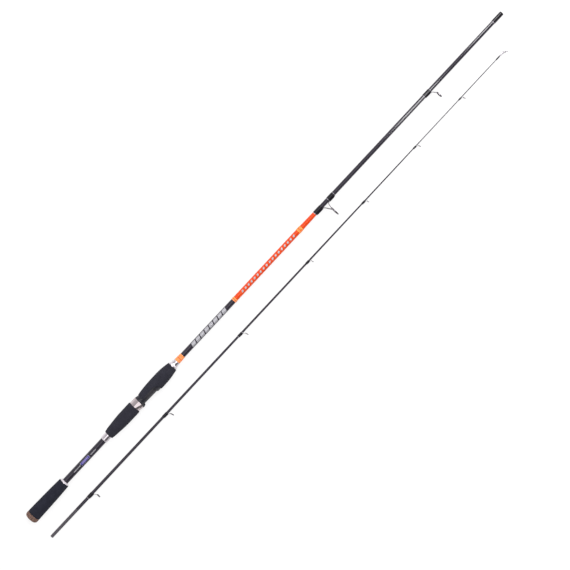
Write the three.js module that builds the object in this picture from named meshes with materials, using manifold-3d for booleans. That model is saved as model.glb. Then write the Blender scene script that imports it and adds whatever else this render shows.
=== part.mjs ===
// A two-piece spinning rod, taken apart: the butt section with its handle, screw-locking reel seat,
// two guides and ferrule socket, and the tip section with seven guides and a tip-top beside it.
// Millimetres. X runs along the butt section from the butt cap's end face, +Z is up, and the
// guides of both sections point to -Y.
import * as THREE from "three";
import { mergeVertices } from "three/addons/utils/BufferGeometryUtils.js";
import Module from "manifold-3d";

const wasm = await Module();
wasm.setup();

// ---------------------------------------------------------------- driving dimensions

const fit = 0.1; // glued or wrapped pieces
const running = 0.3; // pieces that slide or turn on each other
const endGap = 0.3; // between pieces that meet end to end
const edge = 0.6; // rounding at the ends of turned pieces

// Lengths along the butt section, in the order in which the pieces follow each other.
const capLength = 10;
const rearGripLength = 80;
const rearCheckLength = 3.7;
const splitLength = 102.3; // bare blank between the two grips
const collarShown = 13;
const sleeveLength = 69;
const hoodShellLength = 13.3;
const hoodRimLength = 4.5;
const neckLength = 3.7;
const foreGripLength = 78.9;
const foreCheckLength = 13;
const handleBandLength = 15;
const letteringLength = 135; // bare blank up to the painted stretch
const lowerBandLength = 6.3;
const paintLowerLength = 165.4;
const upperBandLength = 10;
const paintUpperLength = 35.2;
const stripperRearWrap = 16.6;
const stripperSpan = 18.4; // between the two wraps of the stripper guide
const stripperFrontWrap = 13.7;
const stripperToSecond = 241.8;
const secondWrap = 14.8;
const secondToFerrule = 169.7;
const ferruleWrapLength = 23;

// The butt blank's outer radii, from the handle to the socket, and its walls.
const handleRadius = 5.8;
const handleTaper = 0.7; // what the radius loses along the handle band
const paintRadius = 5;
const stripperRadius = 4.25;
const secondRadius = 3.85;
const socketRadius = 3.65;
const blankWall = 1;
const socketWall = 0.65;
const socketDepth = 71;

// Grips and checks.
const capRadius = 12.7;
const capRounding = 5;
const capFloor = 4; // solid end of the cap, ahead of the blank
const rearGripFront = 10.25;
const rearCheckRear = 9.3;
const rearCheckFront = 6.9;
const foreGripRear = 10.9;
const foreGripWaist = 12.2;
const foreGripFront = 9.6;
const foreCheckRear = 8.8;
const foreCheckFront = 6.65;

// Reel seat: radii follow each other outwards from the blank.
const arborWall = 0.75;
const arborLength = 18;
const neckWall = 0.9;
const barrelWall = 2.95;
const saddleDepth = 0.7; // the saddle's pad lies this far below the barrel's crest
const padRise = 0.2; // pad between the mouths, over the flat that runs on under the hoods
const pocketHeight = 2.3; // room for a reel foot above the saddle
const pocketWidth = 15;
const pocketDepth = 14.5;
const pocketLevel = 5.8; // level stretch of the pocket behind its mouth
const pocketTaper = 1.3; // how much lower the pocket is at its closed end
const linerWall = 0.75;
const shellWall = 0.7;
const hoodLip = 0.6; // the rim's lip over the mouth
const hoodLand = 2; // straight end of the wedge, at the rim
const rimInset = 0.5; // the rim's round body below the shell
const mouthSpan = 32; // between the two mouths, hood closed
const fixedHoodLength = 21.5;
const seatTail = 3; // seat barrel past the fixed hood
const gripOverHood = 1;
const collarUnderSleeve = 5;
const collarWall = 1.4;
const nutWall = 0.8;
const sleeveWall = 1.2;
const sleeveTail = 1; // sleeve wall at its rear end
const sleeveSwell = 0.55; // more wall where the hand turns it
const nutTail = 13; // from the sleeve's rear end to the nut
const nutTaper = 14;
const hoodTravel = 20; // how far the hood backs off when the nut is unscrewed

// The fore grip's scoop, seen along Z: a straight edge, then a curve out to the crest.
const scoopEdge = 2; // to -Y of the axis
const scoopLead = 5; // straight edge ends this far before the fixed hood's mouth
const scoopRun = 8; // the curve runs out this far past the mouth
const scoopSag = 1.5;

// Guides: the ring's frame stands on a foot that is wrapped on to the blank.
const threadSkin = 0.45; // wrap and its varnish over the blank
const threadCover = 0.45; // over a guide's foot
const threadEnd = 0.25;
const bandSkin = 0.3; // the coloured trim bands
const rampLength = 1.2;
const beadRound = 0.45; // share of a ring's wall that is rounded off
const footBend = 0.4; // a single foot bends up this far past its wrap

const stripper = {
  drop: 23.5,
  ringX: 11.4, // past the rear wrap
  outer: 9,
  frameWall: 0.75,
  ringWall: 1.5,
  width: 2.2,
  footWidth: 4,
  footThick: 1,
  legRadius: 0.9,
  lean: 0,
};
const second = {
  drop: 17.8,
  ringX: 6.8,
  outer: 6.35,
  frameWall: 0.6,
  ringWall: 1.1,
  width: 1.7,
  footWidth: 3.2,
  footThick: 0.8,
  lean: 0,
};

// Tip section: it lies beside the butt section, its thick end level with the butt cap.
const tipOffsetY = -50.5;
const tipOffsetZ = -9;
const maleLength = 69.1;
const maleClearance = 0.05; // between the male end and the socket, on the radius
const maleStep = 0.12; // varnish shoulder where the male end starts
const tipWall = 0.75;
const tipSolidLength = 345; // the blank is hollow up to this far from its tip
const tipStart = 0.3;
const tipTaper = [
  // [distance from the thick end, radius]
  [78, 3.05],
  [290, 2.5],
  [515, 2],
  [700, 1.68],
  [850, 1.3],
  [990, 0.97],
];
const tipEndRadius = 0.72;
const running7 = { outer: 3.9, frameWall: 0.45, ringWall: 0.8, width: 1.2, footWidth: 2, footThick: 0.5 };
const running6 = { outer: 3.45, frameWall: 0.45, ringWall: 0.75, width: 1.1, footWidth: 1.8, footThick: 0.5 };
const running5 = { outer: 2.7, frameWall: 0.4, ringWall: 0.6, width: 0.9, footWidth: 1.3, footThick: 0.4 };
const tipGuides = [
  { ...running7, station: 98.2, wrapLength: 11.3, ringX: 4, drop: 11.6, lean: 0 },
  { ...running7, station: 298.6, wrapLength: 10.3, ringX: 4.7, drop: 8.7, lean: 15 },
  { ...running6, station: 499.4, wrapLength: 9.7, ringX: 4.8, drop: 8.3, lean: 15 },
  { ...running5, station: 680.5, wrapLength: 7.5, ringX: 4.1, drop: 5.6, lean: 15 },
  { ...running5, station: 829.7, wrapLength: 7.7, ringX: 3.5, drop: 5.3, lean: 15 },
  { ...running5, station: 967.2, wrapLength: 7, ringX: 4.8, drop: 5.1, lean: 15 },
  { ...running5, station: 1088.7, wrapLength: 6, ringX: 4, drop: 4.8, lean: 15 },
];
const tipTop = {
  station: 1188.6,
  wrapLength: 9.6,
  tubeLength: 11.4,
  tubeCap: 1.7, // closed end of the tube, past the blank
  tubeWall: 0.45,
  ringX: 3, // past the tube's end
  drop: 3.1,
  outer: 3,
  frameWall: 0.45,
  ringWall: 0.65,
  width: 1,
  strutRadius: 0.45,
  strutRoot: 3.5, // struts start this far before the tube's end
  lean: 45,
};

// ---------------------------------------------------------------- places worked out from them

let along = 0;
function next(length) {
  const start = along;
  along += length;
  return { start, end: along };
}
const cap = next(capLength);
const rearGrip = next(rearGripLength);
const rearCheck = next(rearCheckLength);
next(splitLength);
const collar = next(collarShown);
const sleeve = next(sleeveLength);
const hoodShell = next(hoodShellLength);
const hoodRim = next(hoodRimLength);
next(neckLength);
const foreGrip = next(foreGripLength);
const foreCheck = next(foreCheckLength);
const handleBand = next(handleBandLength);
next(letteringLength);
const lowerBand = next(lowerBandLength);
next(paintLowerLength);
const upperBand = next(upperBandLength);
next(paintUpperLength);
const stripperRear = next(stripperRearWrap);
next(stripperSpan);
const stripperFront = next(stripperFrontWrap);
next(stripperToSecond);
const secondWrapAt = next(secondWrap);
next(secondToFerrule);
const ferruleWrap = next(ferruleWrapLength);
const buttEnd = ferruleWrap.end;

const seatBore = handleRadius + 2 * fit + arborWall;
const neckRadius = seatBore + neckWall;
const barrelRadius = seatBore + barrelWall;
const saddle = barrelRadius - saddleDepth;
const keyFlat = saddle - padRise;
const ceiling = saddle + pocketHeight;
const collarRadius = handleRadius + fit + collarWall;
const nutTailBore = Math.max(collarRadius, neckRadius) + running;
const nutBore = barrelRadius + running;
const nutRadius = nutBore + nutWall;
const sleeveRadius = nutRadius + fit + sleeveWall + sleeveSwell;
const hoodRing = nutBore + linerWall; // the moving liner's round body
const fixedHoodRadius = ceiling + linerWall;
const gripCrest = fixedHoodRadius + fit + gripOverHood;
const fixedMouth = hoodRim.end + mouthSpan;
const seatStart = collar.end + collarUnderSleeve + endGap;
const barrelStart = sleeve.start + nutTail + nutTaper + endGap;
const seatEnd = fixedMouth + fixedHoodLength + seatTail;

// The butt blank's outer radius at a place along it.
const buttTaper = [
  [0, handleRadius],
  [foreCheck.end, handleRadius],
  [handleBand.end, handleRadius - handleTaper],
  [lowerBand.start, paintRadius],
  [upperBand.start, paintRadius],
  [stripperRear.start, stripperRadius],
  [secondWrapAt.start, secondRadius],
  [buttEnd, socketRadius],
];
function radiusAt(taper, x) {
  const k = Math.max(1, taper.findIndex(([end]) => end >= x));
  const [x0, r0] = taper[k - 1];
  const [x1, r1] = taper[k];
  return THREE.MathUtils.mapLinear(x, x0, x1, r0, r1);
}
const buttRadius = (x) => radiusAt(buttTaper, x);

const maleRadius = socketRadius - socketWall - maleClearance;
const tipWrap = { start: tipTop.station, end: tipTop.station + tipTop.wrapLength };
const tubeEnd = tipWrap.end + tipTop.tubeLength;
const tipEnd = tubeEnd - tipTop.tubeCap;
const maleEnd = tipStart + maleLength;
const tipRadii = [[maleEnd, maleRadius + maleStep], ...tipTaper, [tipEnd, tipEndRadius]];
const tipRadius = (x) => radiusAt(tipRadii, x);

// ---------------------------------------------------------------- shapes

const coarse = 12;
const round = 20;

// A solid turned about X from [x, radius] points: an open profile starts and ends on the axis.
function turned(profile, sides = round) {
  const points = profile.map(([x, r]) => new THREE.Vector2(r, x));
  return new THREE.LatheGeometry(points, sides).rotateZ(-Math.PI / 2);
}

// A sleeve about X between an outer and an inner line, both given from rear to front.
function tube(outer, inner, sides = round) {
  return turned([...outer, ...inner.toReversed(), outer[0]], sides);
}

// A solid rod about X under one line.
function rod(outer, sides = round) {
  const start = outer[0][0];
  const end = outer.at(-1)[0];
  return turned([[start, 0], ...outer, [end, 0]], sides);
}

function box(x0, x1, y0, y1, z0, z1) {
  const g = new THREE.BoxGeometry(x1 - x0, y1 - y0, z1 - z0);
  return g.translate((x0 + x1) / 2, (y0 + y1) / 2, (z0 + z1) / 2);
}

// A smooth outline through [x, radius] points.
function outline(points, steps) {
  const curve = new THREE.SplineCurve(points.map(([x, r]) => new THREE.Vector2(x, r)));
  return curve.getPoints(steps).map((p) => [p.x, p.y]);
}

// A quarter round from the end face at x to the outside, out to radius r.
function roundedEnd(x, r, rounding, steps = 4) {
  const points = [];
  for (let i = 0; i <= steps; i++) {
    const a = (i / steps) * (Math.PI / 2);
    points.push([x + rounding * (1 - Math.sin(a)), r - rounding * (1 - Math.cos(a))]);
  }
  return points.toReversed();
}

// A round bar from one point to another.
function bar(from, to, radius) {
  const path = new THREE.LineCurve3(from, to);
  const section = new THREE.Shape().absarc(0, 0, radius, 0, 2 * Math.PI);
  return new THREE.ExtrudeGeometry(section, { extrudePath: path, steps: 1, curveSegments: 4 });
}

// A flat strip bent along a line in the XY plane, its width across Z.
function strip(line, thickness, width) {
  const left = [];
  const right = [];
  line.forEach((p, i) => {
    const before = p.clone().sub(line[Math.max(i - 1, 0)]);
    const after = line[Math.min(i + 1, line.length - 1)].clone().sub(p);
    if (i === 0) before.copy(after);
    if (i === line.length - 1) after.copy(before);
    const n = before.normalize().add(after.normalize()).normalize().rotateAround(new THREE.Vector2(), Math.PI / 2);
    const half = thickness / 2 / n.dot(after.clone().rotateAround(new THREE.Vector2(), Math.PI / 2));
    left.push(p.clone().addScaledVector(n, half));
    right.push(p.clone().addScaledVector(n, -half));
  });
  const shape = new THREE.Shape([...right, ...left.toReversed()]);
  const g = new THREE.ExtrudeGeometry(shape, { depth: width, bevelEnabled: false });
  return g.translate(0, 0, -width / 2);
}

function solid(geometry) {
  const bare = geometry.index ? geometry.toNonIndexed() : geometry.clone();
  bare.deleteAttribute("normal");
  bare.deleteAttribute("uv");
  const merged = mergeVertices(bare, 1e-4);
  return new wasm.Manifold(
    new wasm.Mesh({
      numProp: 3,
      vertProperties: merged.getAttribute("position").array,
      triVerts: new Uint32Array(merged.index.array),
    }),
  );
}

function surface(body) {
  const mesh = body.getMesh();
  const g = new THREE.BufferGeometry();
  g.setAttribute("position", new THREE.BufferAttribute(mesh.vertProperties, 3));
  g.setIndex(new THREE.BufferAttribute(mesh.triVerts, 1));
  const flat = g.toNonIndexed();
  flat.computeVertexNormals();
  return flat;
}

const join = (...geometries) => surface(geometries.map(solid).reduce((a, b) => a.add(b)));
const cut = (geometry, ...tools) =>
  surface(tools.map(solid).reduce((a, b) => a.subtract(b), solid(geometry)));
const common = (a, b) => surface(solid(a).intersect(solid(b)));

// ---------------------------------------------------------------- materials

const foam = { color: 0x2e2e34, roughness: 0.95, metalness: 0 };
const cork = { color: 0x7d5b4c, roughness: 0.9, metalness: 0 };
const silver = { color: 0xc9c5cc, roughness: 0.3, metalness: 1 };
const carbon = { color: 0x3b3a40, roughness: 0.25, metalness: 0 };
const blackPlastic = { color: 0x1d1d22, roughness: 0.3, metalness: 0 };
const orange = { color: 0xff9b4b, roughness: 0.35, metalness: 0 };
const yellow = { color: 0xffb350, roughness: 0.35, metalness: 0 };
const thread = { color: 0x25232a, roughness: 0.2, metalness: 0 };
const darkSteel = { color: 0x55555c, roughness: 0.3, metalness: 1 };
const ceramic = { color: 0x2a2a2e, roughness: 0.15, metalness: 0 };
const tape = { color: 0xc8b893, roughness: 0.9, metalness: 0 };

function part(parent, name, geometry, finish) {
  const mesh = new THREE.Mesh(geometry, new THREE.MeshStandardMaterial(finish));
  mesh.name = name;
  parent.add(mesh);
  return mesh;
}

function group(parent) {
  const g = new THREE.Group();
  parent.add(g);
  return g;
}

const rodSet = new THREE.Group();
const buttSection = group(rodSet);
const movingHood = group(buttSection);
const lockNut = group(movingHood);
const tipSection = group(rodSet);
tipSection.position.set(0, tipOffsetY, tipOffsetZ);

// ---------------------------------------------------------------- blank

// The butt blank runs from the butt cap to the socket: a tube that follows the taper.
const socketStart = buttEnd - socketDepth;
const blankStart = capFloor + endGap;
const blankEnd = socketStart - endGap;
const blankOuter = [
  [blankStart, buttRadius(blankStart)],
  ...buttTaper.filter(([x]) => x > blankStart && x < blankEnd),
  [blankEnd, buttRadius(blankEnd)],
];
const blankBore = blankOuter.map(([x, r]) => [x, r - blankWall]);
part(buttSection, "butt_blank", tube(blankOuter, blankBore), carbon);

// The blank's bored top end, which takes the tip section's male end.
function ferruleSocket() {
  const outer = [
    [socketStart, buttRadius(socketStart)],
    [buttEnd, socketRadius],
  ];
  const inner = outer.map(([x]) => [x, socketRadius - socketWall]);
  return tube(outer, inner);
}
part(buttSection, "ferrule_socket", ferruleSocket(), carbon);

// ---------------------------------------------------------------- rear grip

const onBlank = handleRadius + fit;

const capOuter = [...roundedEnd(0, capRadius, capRounding), [cap.end - endGap, capRadius]];
const capBore = [
  [capFloor, onBlank],
  [cap.end, onBlank],
];
part(buttSection, "butt_cap", cut(rod(capOuter), rod(capBore)), cork);

part(
  buttSection,
  "rear_grip",
  tube(
    outline(
      [
        [rearGrip.start, capRadius],
        [rearGrip.start + 0.25 * rearGripLength, capRadius - 0.4],
        [rearGrip.start + 0.65 * rearGripLength, (capRadius + rearGripFront) / 2],
        [rearGrip.end, rearGripFront],
      ],
      10,
    ),
    [
      [rearGrip.start, onBlank],
      [rearGrip.end, onBlank],
    ],
  ),
  foam,
);

const rearCheckStart = rearCheck.start + endGap;
part(
  buttSection,
  "rear_winding_check",
  tube(
    [
      [rearCheckStart, rearCheckRear - edge],
      [rearCheckStart + edge, rearCheckRear],
      [rearCheck.end - edge, rearCheckFront],
      [rearCheck.end, rearCheckFront - edge],
    ],
    [
      [rearCheckStart, onBlank],
      [rearCheck.end, onBlank],
    ],
  ),
  silver,
);

// ---------------------------------------------------------------- reel seat, fixed pieces

part(
  buttSection,
  "seat_tail_collar",
  tube(
    [
      [collar.start, collarRadius - edge],
      [collar.start + edge, collarRadius],
      [collar.end + collarUnderSleeve, collarRadius],
    ],
    [
      [collar.start, onBlank],
      [collar.end + collarUnderSleeve, onBlank],
    ],
  ),
  silver,
);

// The seat's barrel: a narrow neck under the lock nut, then the thread crest. A flat runs along its
// -Y side, from where the hood's key gets to when it backs off to the fixed hood's closed end, and
// rises to the saddle's pad between the two mouths.
const flatStart = hoodShell.start - hoodTravel;
const flatEnd = fixedMouth + fixedHoodLength - linerWall;
const padStart = hoodRim.end + edge;
const padEnd = fixedMouth - edge;
const barrel = tube(
  [
    [seatStart, neckRadius],
    [barrelStart - endGap, neckRadius],
    [barrelStart, barrelRadius],
    [seatEnd, barrelRadius],
  ],
  [
    [seatStart, seatBore],
    [seatEnd, seatBore],
  ],
);
const overFlat = (x0, x1, depth) => box(x0, x1, -2 * barrelRadius, -depth, -barrelRadius, barrelRadius);
part(
  buttSection,
  "seat_barrel",
  cut(
    barrel,
    overFlat(flatStart, flatEnd, saddle),
    overFlat(flatStart, padStart, keyFlat),
    overFlat(padEnd, flatEnd, keyFlat),
  ),
  blackPlastic,
);

function arbor(start) {
  const span = (r) => [
    [start, r],
    [start + arborLength, r],
  ];
  return tube(span(seatBore - fit), span(onBlank));
}
part(buttSection, "rear_arbor", arbor(seatStart + 2), tape);
part(buttSection, "front_arbor", arbor(seatEnd - 2 - arborLength), tape);

// The room under a hood for one end of a reel foot, from its mouth back to its closed end.
function pocket(mouth, way, past) {
  const ends = [
    [mouth - way * past, ceiling],
    [mouth + way * pocketLevel, ceiling],
    [mouth + way * pocketDepth, ceiling - pocketTaper],
  ];
  const line = way > 0 ? ends : ends.toReversed();
  const x0 = Math.min(...line.map(([x]) => x));
  const x1 = Math.max(...line.map(([x]) => x));
  const half = pocketWidth / 2;
  return common(rod(line), box(x0, x1, -2 * ceiling, -saddle / 2, -half, half));
}

function fixedHood() {
  const end = fixedMouth + fixedHoodLength;
  const ring = tube(
    [
      [fixedMouth, fixedHoodRadius - edge],
      [fixedMouth + edge, fixedHoodRadius],
      [end, fixedHoodRadius],
    ],
    [
      [fixedMouth, barrelRadius + fit],
      [end, barrelRadius + fit],
    ],
  );
  return cut(ring, pocket(fixedMouth, 1, 1));
}
part(buttSection, "fixed_hood", fixedHood(), blackPlastic);

// ---------------------------------------------------------------- reel seat, moving pieces

// A hood's outer form: a round body and, towards -Y, a wedge that widens forwards over the pocket.
function hoodForm(start, end, body, wedgeRear, wedgeFront, half) {
  const roundBody = rod([
    [start, body],
    [end, body],
  ]);
  const wedge = rod([
    [start, wedgeRear],
    [end - hoodLand, wedgeFront],
    [end, wedgeFront],
  ]);
  return join(roundBody, common(wedge, box(start, end, -2 * wedgeFront, 0, -half, half)));
}

const wedgeHalf = pocketWidth / 2 + linerWall;
const linerTop = ceiling + linerWall / 2;
const keyBore = common(
  rod([
    [hoodShell.start - 1, nutBore],
    [hoodRim.end + 1, nutBore],
  ]),
  box(hoodShell.start - 1, hoodRim.end + 1, -(keyFlat + running), 2 * nutBore, -2 * nutBore, 2 * nutBore),
);

function hoodLiner() {
  const start = hoodShell.start + endGap;
  const under = hoodForm(start, hoodShell.end + 0.5, hoodRing, hoodRing - 0.5, linerTop, wedgeHalf);
  const body = hoodRing + fit + shellWall - rimInset;
  const lip = linerTop + shellWall + hoodLip;
  const rimRound = rod([
    [hoodRim.start, body - edge],
    [hoodRim.start + edge, body],
    [hoodRim.end - edge, body],
    [hoodRim.end, body - edge],
  ]);
  const rimLip = rod([
    [hoodRim.start, lip - hoodLip],
    [hoodRim.start + hoodLip, lip],
    [hoodRim.end - hoodLip, lip],
    [hoodRim.end, lip - hoodLip],
  ]);
  const half = wedgeHalf + shellWall;
  const lipHalf = common(rimLip, box(hoodRim.start, hoodRim.end, -2 * lip, 0, -half, half));
  return cut(join(under, rimRound, lipHalf), keyBore, pocket(hoodRim.end, -1, 1));
}
part(movingHood, "moving_hood_liner", hoodLiner(), blackPlastic);

function hoodCover() {
  const start = hoodShell.start + endGap;
  const end = hoodShell.end - fit;
  const grown = fit + shellWall;
  const outside = hoodForm(start, end, hoodRing + grown, hoodRing, linerTop + grown, wedgeHalf + grown);
  const inside = hoodForm(start - 1, hoodShell.end + 0.5, hoodRing + fit, hoodRing - 0.4, linerTop + fit, wedgeHalf + fit);
  return cut(outside, inside);
}
part(movingHood, "moving_hood_shell", hoodCover(), silver);

// The lock nut: a threaded core inside a foam sleeve.
const nutStart = sleeve.start + nutTail;
const nutFlare = nutStart + nutTaper;
part(
  lockNut,
  "lock_nut_core",
  tube(
    [
      [nutStart, nutTailBore + nutWall],
      [nutFlare, nutRadius],
      [sleeve.end, nutRadius],
    ],
    [
      [nutStart, nutTailBore],
      [nutFlare - running, nutTailBore],
      [nutFlare, nutBore],
      [sleeve.end, nutBore],
    ],
  ),
  blackPlastic,
);
part(
  lockNut,
  "lock_nut_sleeve",
  tube(
    [
      [sleeve.start, nutTailBore + sleeveTail - edge],
      ...outline(
        [
          [sleeve.start + edge, nutTailBore + sleeveTail],
          [nutStart + 1, nutTailBore + nutWall + sleeveWall + 2 * sleeveSwell],
          [nutFlare + 3, nutRadius + fit + sleeveWall],
          [sleeve.end - 12, sleeveRadius],
          [sleeve.end - 4 * edge, sleeveRadius],
        ],
        10,
      ),
      [sleeve.end - edge, sleeveRadius - edge],
      [sleeve.end, sleeveRadius - 2.5 * edge],
    ],
    [
      [sleeve.start, nutTailBore],
      [nutStart - fit, nutTailBore],
      [nutStart - fit, nutTailBore + nutWall + fit],
      [nutFlare, nutRadius + fit],
      [sleeve.end, nutRadius + fit],
    ],
  ),
  foam,
);

// ---------------------------------------------------------------- fore grip

// The grip is scooped away on the -Y side, so that the saddle and the fixed hood's mouth lie free.
function scoop() {
  const deep = -2 * gripCrest;
  const scoopEnd = fixedMouth + scoopRun;
  const shape = new THREE.Shape();
  shape.moveTo(foreGrip.start - 1, -scoopEdge);
  shape.lineTo(fixedMouth - scoopLead, -scoopEdge);
  shape.quadraticCurveTo(fixedMouth + scoopRun / 4, -scoopEdge - scoopSag, scoopEnd, -gripCrest);
  shape.lineTo(scoopEnd, deep);
  shape.lineTo(foreGrip.start - 1, deep);
  shape.closePath();
  const width = 3 * gripCrest;
  const g = new THREE.ExtrudeGeometry(shape, { depth: width, bevelEnabled: false, curveSegments: 6 });
  return g.translate(0, 0, -width / 2);
}

function foreGripFoam() {
  const start = foreGrip.start;
  const crestX = fixedMouth + fixedHoodLength / 2;
  const outer = rod(
    outline(
      [
        [start, foreGripRear],
        [(start + fixedMouth) / 2 + 1, foreGripWaist],
        [crestX, gripCrest],
        [crestX + 0.55 * (foreGrip.end - crestX), (gripCrest + 2 * foreGripWaist) / 3],
        [foreGrip.end, foreGripFront],
      ],
      14,
    ),
  );
  const hoodEnd = fixedMouth + fixedHoodLength;
  const bore = rod([
    [start - 1, barrelRadius + fit],
    [fixedMouth - endGap, barrelRadius + fit],
    [fixedMouth - endGap, fixedHoodRadius + fit],
    [hoodEnd + endGap, fixedHoodRadius + fit],
    [hoodEnd + endGap, barrelRadius + fit],
    [seatEnd + endGap, barrelRadius + fit],
    [seatEnd + endGap, onBlank],
    [foreGrip.end + 1, onBlank],
  ]);
  return cut(outer, bore, scoop());
}
part(buttSection, "fore_grip", foreGripFoam(), foam);

const foreCheckStart = foreCheck.start + endGap;
part(
  buttSection,
  "fore_winding_check",
  tube(
    [
      [foreCheckStart, foreCheckRear - edge],
      ...outline(
        [
          [foreCheckStart + edge, foreCheckRear],
          [foreCheckStart + 0.3 * foreCheckLength, foreCheckFront + 0.4 * (foreCheckRear - foreCheckFront)],
          [foreCheck.end - edge, foreCheckFront],
        ],
        6,
      ),
      [foreCheck.end, foreCheckFront - edge],
    ],
    [
      [foreCheckStart, onBlank],
      [foreCheck.end, onBlank],
    ],
  ),
  silver,
);

// ---------------------------------------------------------------- thread work on the butt section

// A wrap without a foot below it: a plain sleeve of varnished thread that follows the blank.
function plainWrap({ start, end }, radius, skin, sides = round) {
  const from = start + endGap / 2;
  const to = end - endGap / 2;
  return tube(
    [
      [from, radius(from) + fit + skin / 2],
      [from + edge, radius(from) + fit + skin],
      [to - edge, radius(to) + fit + skin],
      [to, radius(to) + fit + skin / 2],
    ],
    [
      [from, radius(from) + fit],
      [to, radius(to) + fit],
    ],
    sides,
  );
}
part(buttSection, "handle_band", plainWrap(handleBand, buttRadius, bandSkin), orange);
part(buttSection, "lower_band", plainWrap(lowerBand, buttRadius, bandSkin), orange);
part(buttSection, "upper_band", plainWrap(upperBand, buttRadius, bandSkin), yellow);
part(buttSection, "ferrule_wrap", plainWrap(ferruleWrap, buttRadius, threadSkin), thread);

// ---------------------------------------------------------------- guides

// Where a guide's foot lies: its inner side clears the thickest blank under the wrap.
function footPlace(wrapped, radius, guide) {
  const thickest = Math.max(radius(wrapped.start), radius(wrapped.end));
  return thickest + fit + guide.footThick / 2;
}

// A wrap over a guide's foot: it bulges towards -Y, and holds the blank and the foot.
function footWrap(wrapped, radius, guide, footTo, sides) {
  const rise = (2 * fit + guide.footThick + threadCover - threadSkin) / 2;
  const { start, end } = wrapped;
  const base = fit + rise;
  const outer = rod(
    [
      [start, radius(start) + base + threadEnd],
      [start + rampLength, radius(start) + base + threadSkin],
      [end - rampLength, radius(end) + base + threadSkin],
      [end, radius(end) + base + threadEnd],
    ],
    sides,
  ).translate(0, -rise, 0);
  const bore = rod(
    [
      [start - 1, radius(start) + fit],
      [end + 1, radius(end) + fit],
    ],
    sides,
  );
  const y = -footPlace(wrapped, radius, guide);
  const half = guide.footThick / 2 + fit;
  const across = guide.footWidth / 2 + fit;
  const [x0, x1] = footTo > 0 ? [start + rampLength - fit, end + 1] : [start - 1, end - rampLength + fit];
  const slot = box(x0, x1, y - half, y + half + fit, -across, across);
  return cut(outer, bore, slot);
}

// Puts a piece made about the origin at its guide's place and lean.
function seated(geometry, guide, x) {
  return geometry.rotateZ(THREE.MathUtils.degToRad(guide.lean)).translate(x, -guide.drop, 0);
}

// A guide's frame: its feet and legs joined to the band, with the band's bore open for the ring.
function framed(guide, x, sides, ...pieces) {
  const half = guide.width / 2;
  const disc = (length, r) =>
    rod(
      [
        [-length, r],
        [length, r],
      ],
      sides,
    );
  const band = seated(disc(half, guide.outer), guide, x);
  const bore = seated(disc(2 * guide.outer, guide.outer - guide.frameWall), guide, x);
  return cut(join(band, ...pieces), bore);
}

// The ceramic ring: a rounded bead that sits in the band.
function bead(guide, sides) {
  const outer = guide.outer - guide.frameWall - fit;
  const inner = outer - guide.ringWall;
  const half = guide.width / 2 + fit;
  const line = [
    [-half / 2, outer],
    [half / 2, outer],
    [half, outer - guide.ringWall * beadRound],
    [half / 2, inner],
    [-half / 2, inner],
    [-half, outer - guide.ringWall * beadRound],
    [-half / 2, outer],
  ];
  return turned(line, sides);
}

function addBead(parent, name, guide, x, sides) {
  const mesh = part(parent, name, bead(guide, sides), ceramic);
  mesh.position.set(x, -guide.drop, 0);
  mesh.rotation.z = THREE.MathUtils.degToRad(guide.lean);
}

// The point on the band's middle line at an angle from its nearest point to the rod.
function bandPoint(guide, x, angle) {
  const lean = THREE.MathUtils.degToRad(guide.lean);
  const r = guide.outer - guide.frameWall / 2;
  const y = r * Math.cos(angle);
  return new THREE.Vector3(x - y * Math.sin(lean), -guide.drop + y * Math.cos(lean), r * Math.sin(angle));
}

// A single-foot guide: a flat foot that bends up into the leg and meets the band.
function singleFootFrame(wrapped, radius, guide, x, sides) {
  const foot = -footPlace(wrapped, radius, guide);
  const top = bandPoint(guide, x, 0);
  const line = [
    new THREE.Vector2(wrapped.start + rampLength, foot),
    new THREE.Vector2(wrapped.end + footBend, foot),
    new THREE.Vector2(top.x, top.y),
  ];
  return framed(guide, x, sides, strip(line, guide.footThick, guide.footWidth));
}

// The stripper guide: the rear foot splits into two legs to the ring's sides, and one leg braces it
// from the front foot.
function stripperFrame(x) {
  const foot = -footPlace(stripperRear, buttRadius, stripper);
  const front = -footPlace(stripperFront, buttRadius, stripper);
  const { footThick, footWidth, legRadius } = stripper;
  const bare = 2.5 * legRadius; // foot in front of its wrap, where the legs start
  const rearEnd = stripperRear.end + bare;
  const frontEnd = stripperFront.start - bare;
  const rearFoot = box(
    stripperRear.start + rampLength,
    rearEnd,
    foot - footThick / 2,
    foot + footThick / 2,
    -footWidth / 2,
    footWidth / 2,
  );
  const frontFoot = box(
    frontEnd,
    stripperFront.end - rampLength,
    front - footThick / 2,
    front + footThick / 2,
    -footWidth / 2,
    footWidth / 2,
  );
  const side = Math.PI / 3;
  const legs = [side, -side].map((angle) => {
    const from = new THREE.Vector3(rearEnd - legRadius, foot, (Math.sign(angle) * footWidth) / 4);
    return bar(from, bandPoint(stripper, x, angle), legRadius);
  });
  const brace = bar(new THREE.Vector3(frontEnd + legRadius, front, 0), bandPoint(stripper, x, 0), legRadius);
  return framed(stripper, x, round, rearFoot, frontFoot, ...legs, brace);
}

const stripperX = stripperRear.end + stripper.ringX;
part(buttSection, "stripper_guide_frame", stripperFrame(stripperX), darkSteel);
addBead(buttSection, "stripper_guide_ring", stripper, stripperX, round);
part(
  buttSection,
  "stripper_rear_wrap",
  footWrap(stripperRear, buttRadius, stripper, 1, round),
  thread,
);
part(
  buttSection,
  "stripper_front_wrap",
  footWrap(stripperFront, buttRadius, stripper, -1, round),
  thread,
);

function addSingleFoot(parent, name, guide, wrapped, radius, sides) {
  const x = wrapped.end + guide.ringX;
  part(parent, name + "_frame", singleFootFrame(wrapped, radius, guide, x, sides), darkSteel);
  addBead(parent, name + "_ring", guide, x, sides);
  part(parent, name + "_wrap", footWrap(wrapped, radius, guide, 1, sides), thread);
}
addSingleFoot(buttSection, "guide_2", second, secondWrapAt, buttRadius, round);

// ---------------------------------------------------------------- tip section

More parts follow.
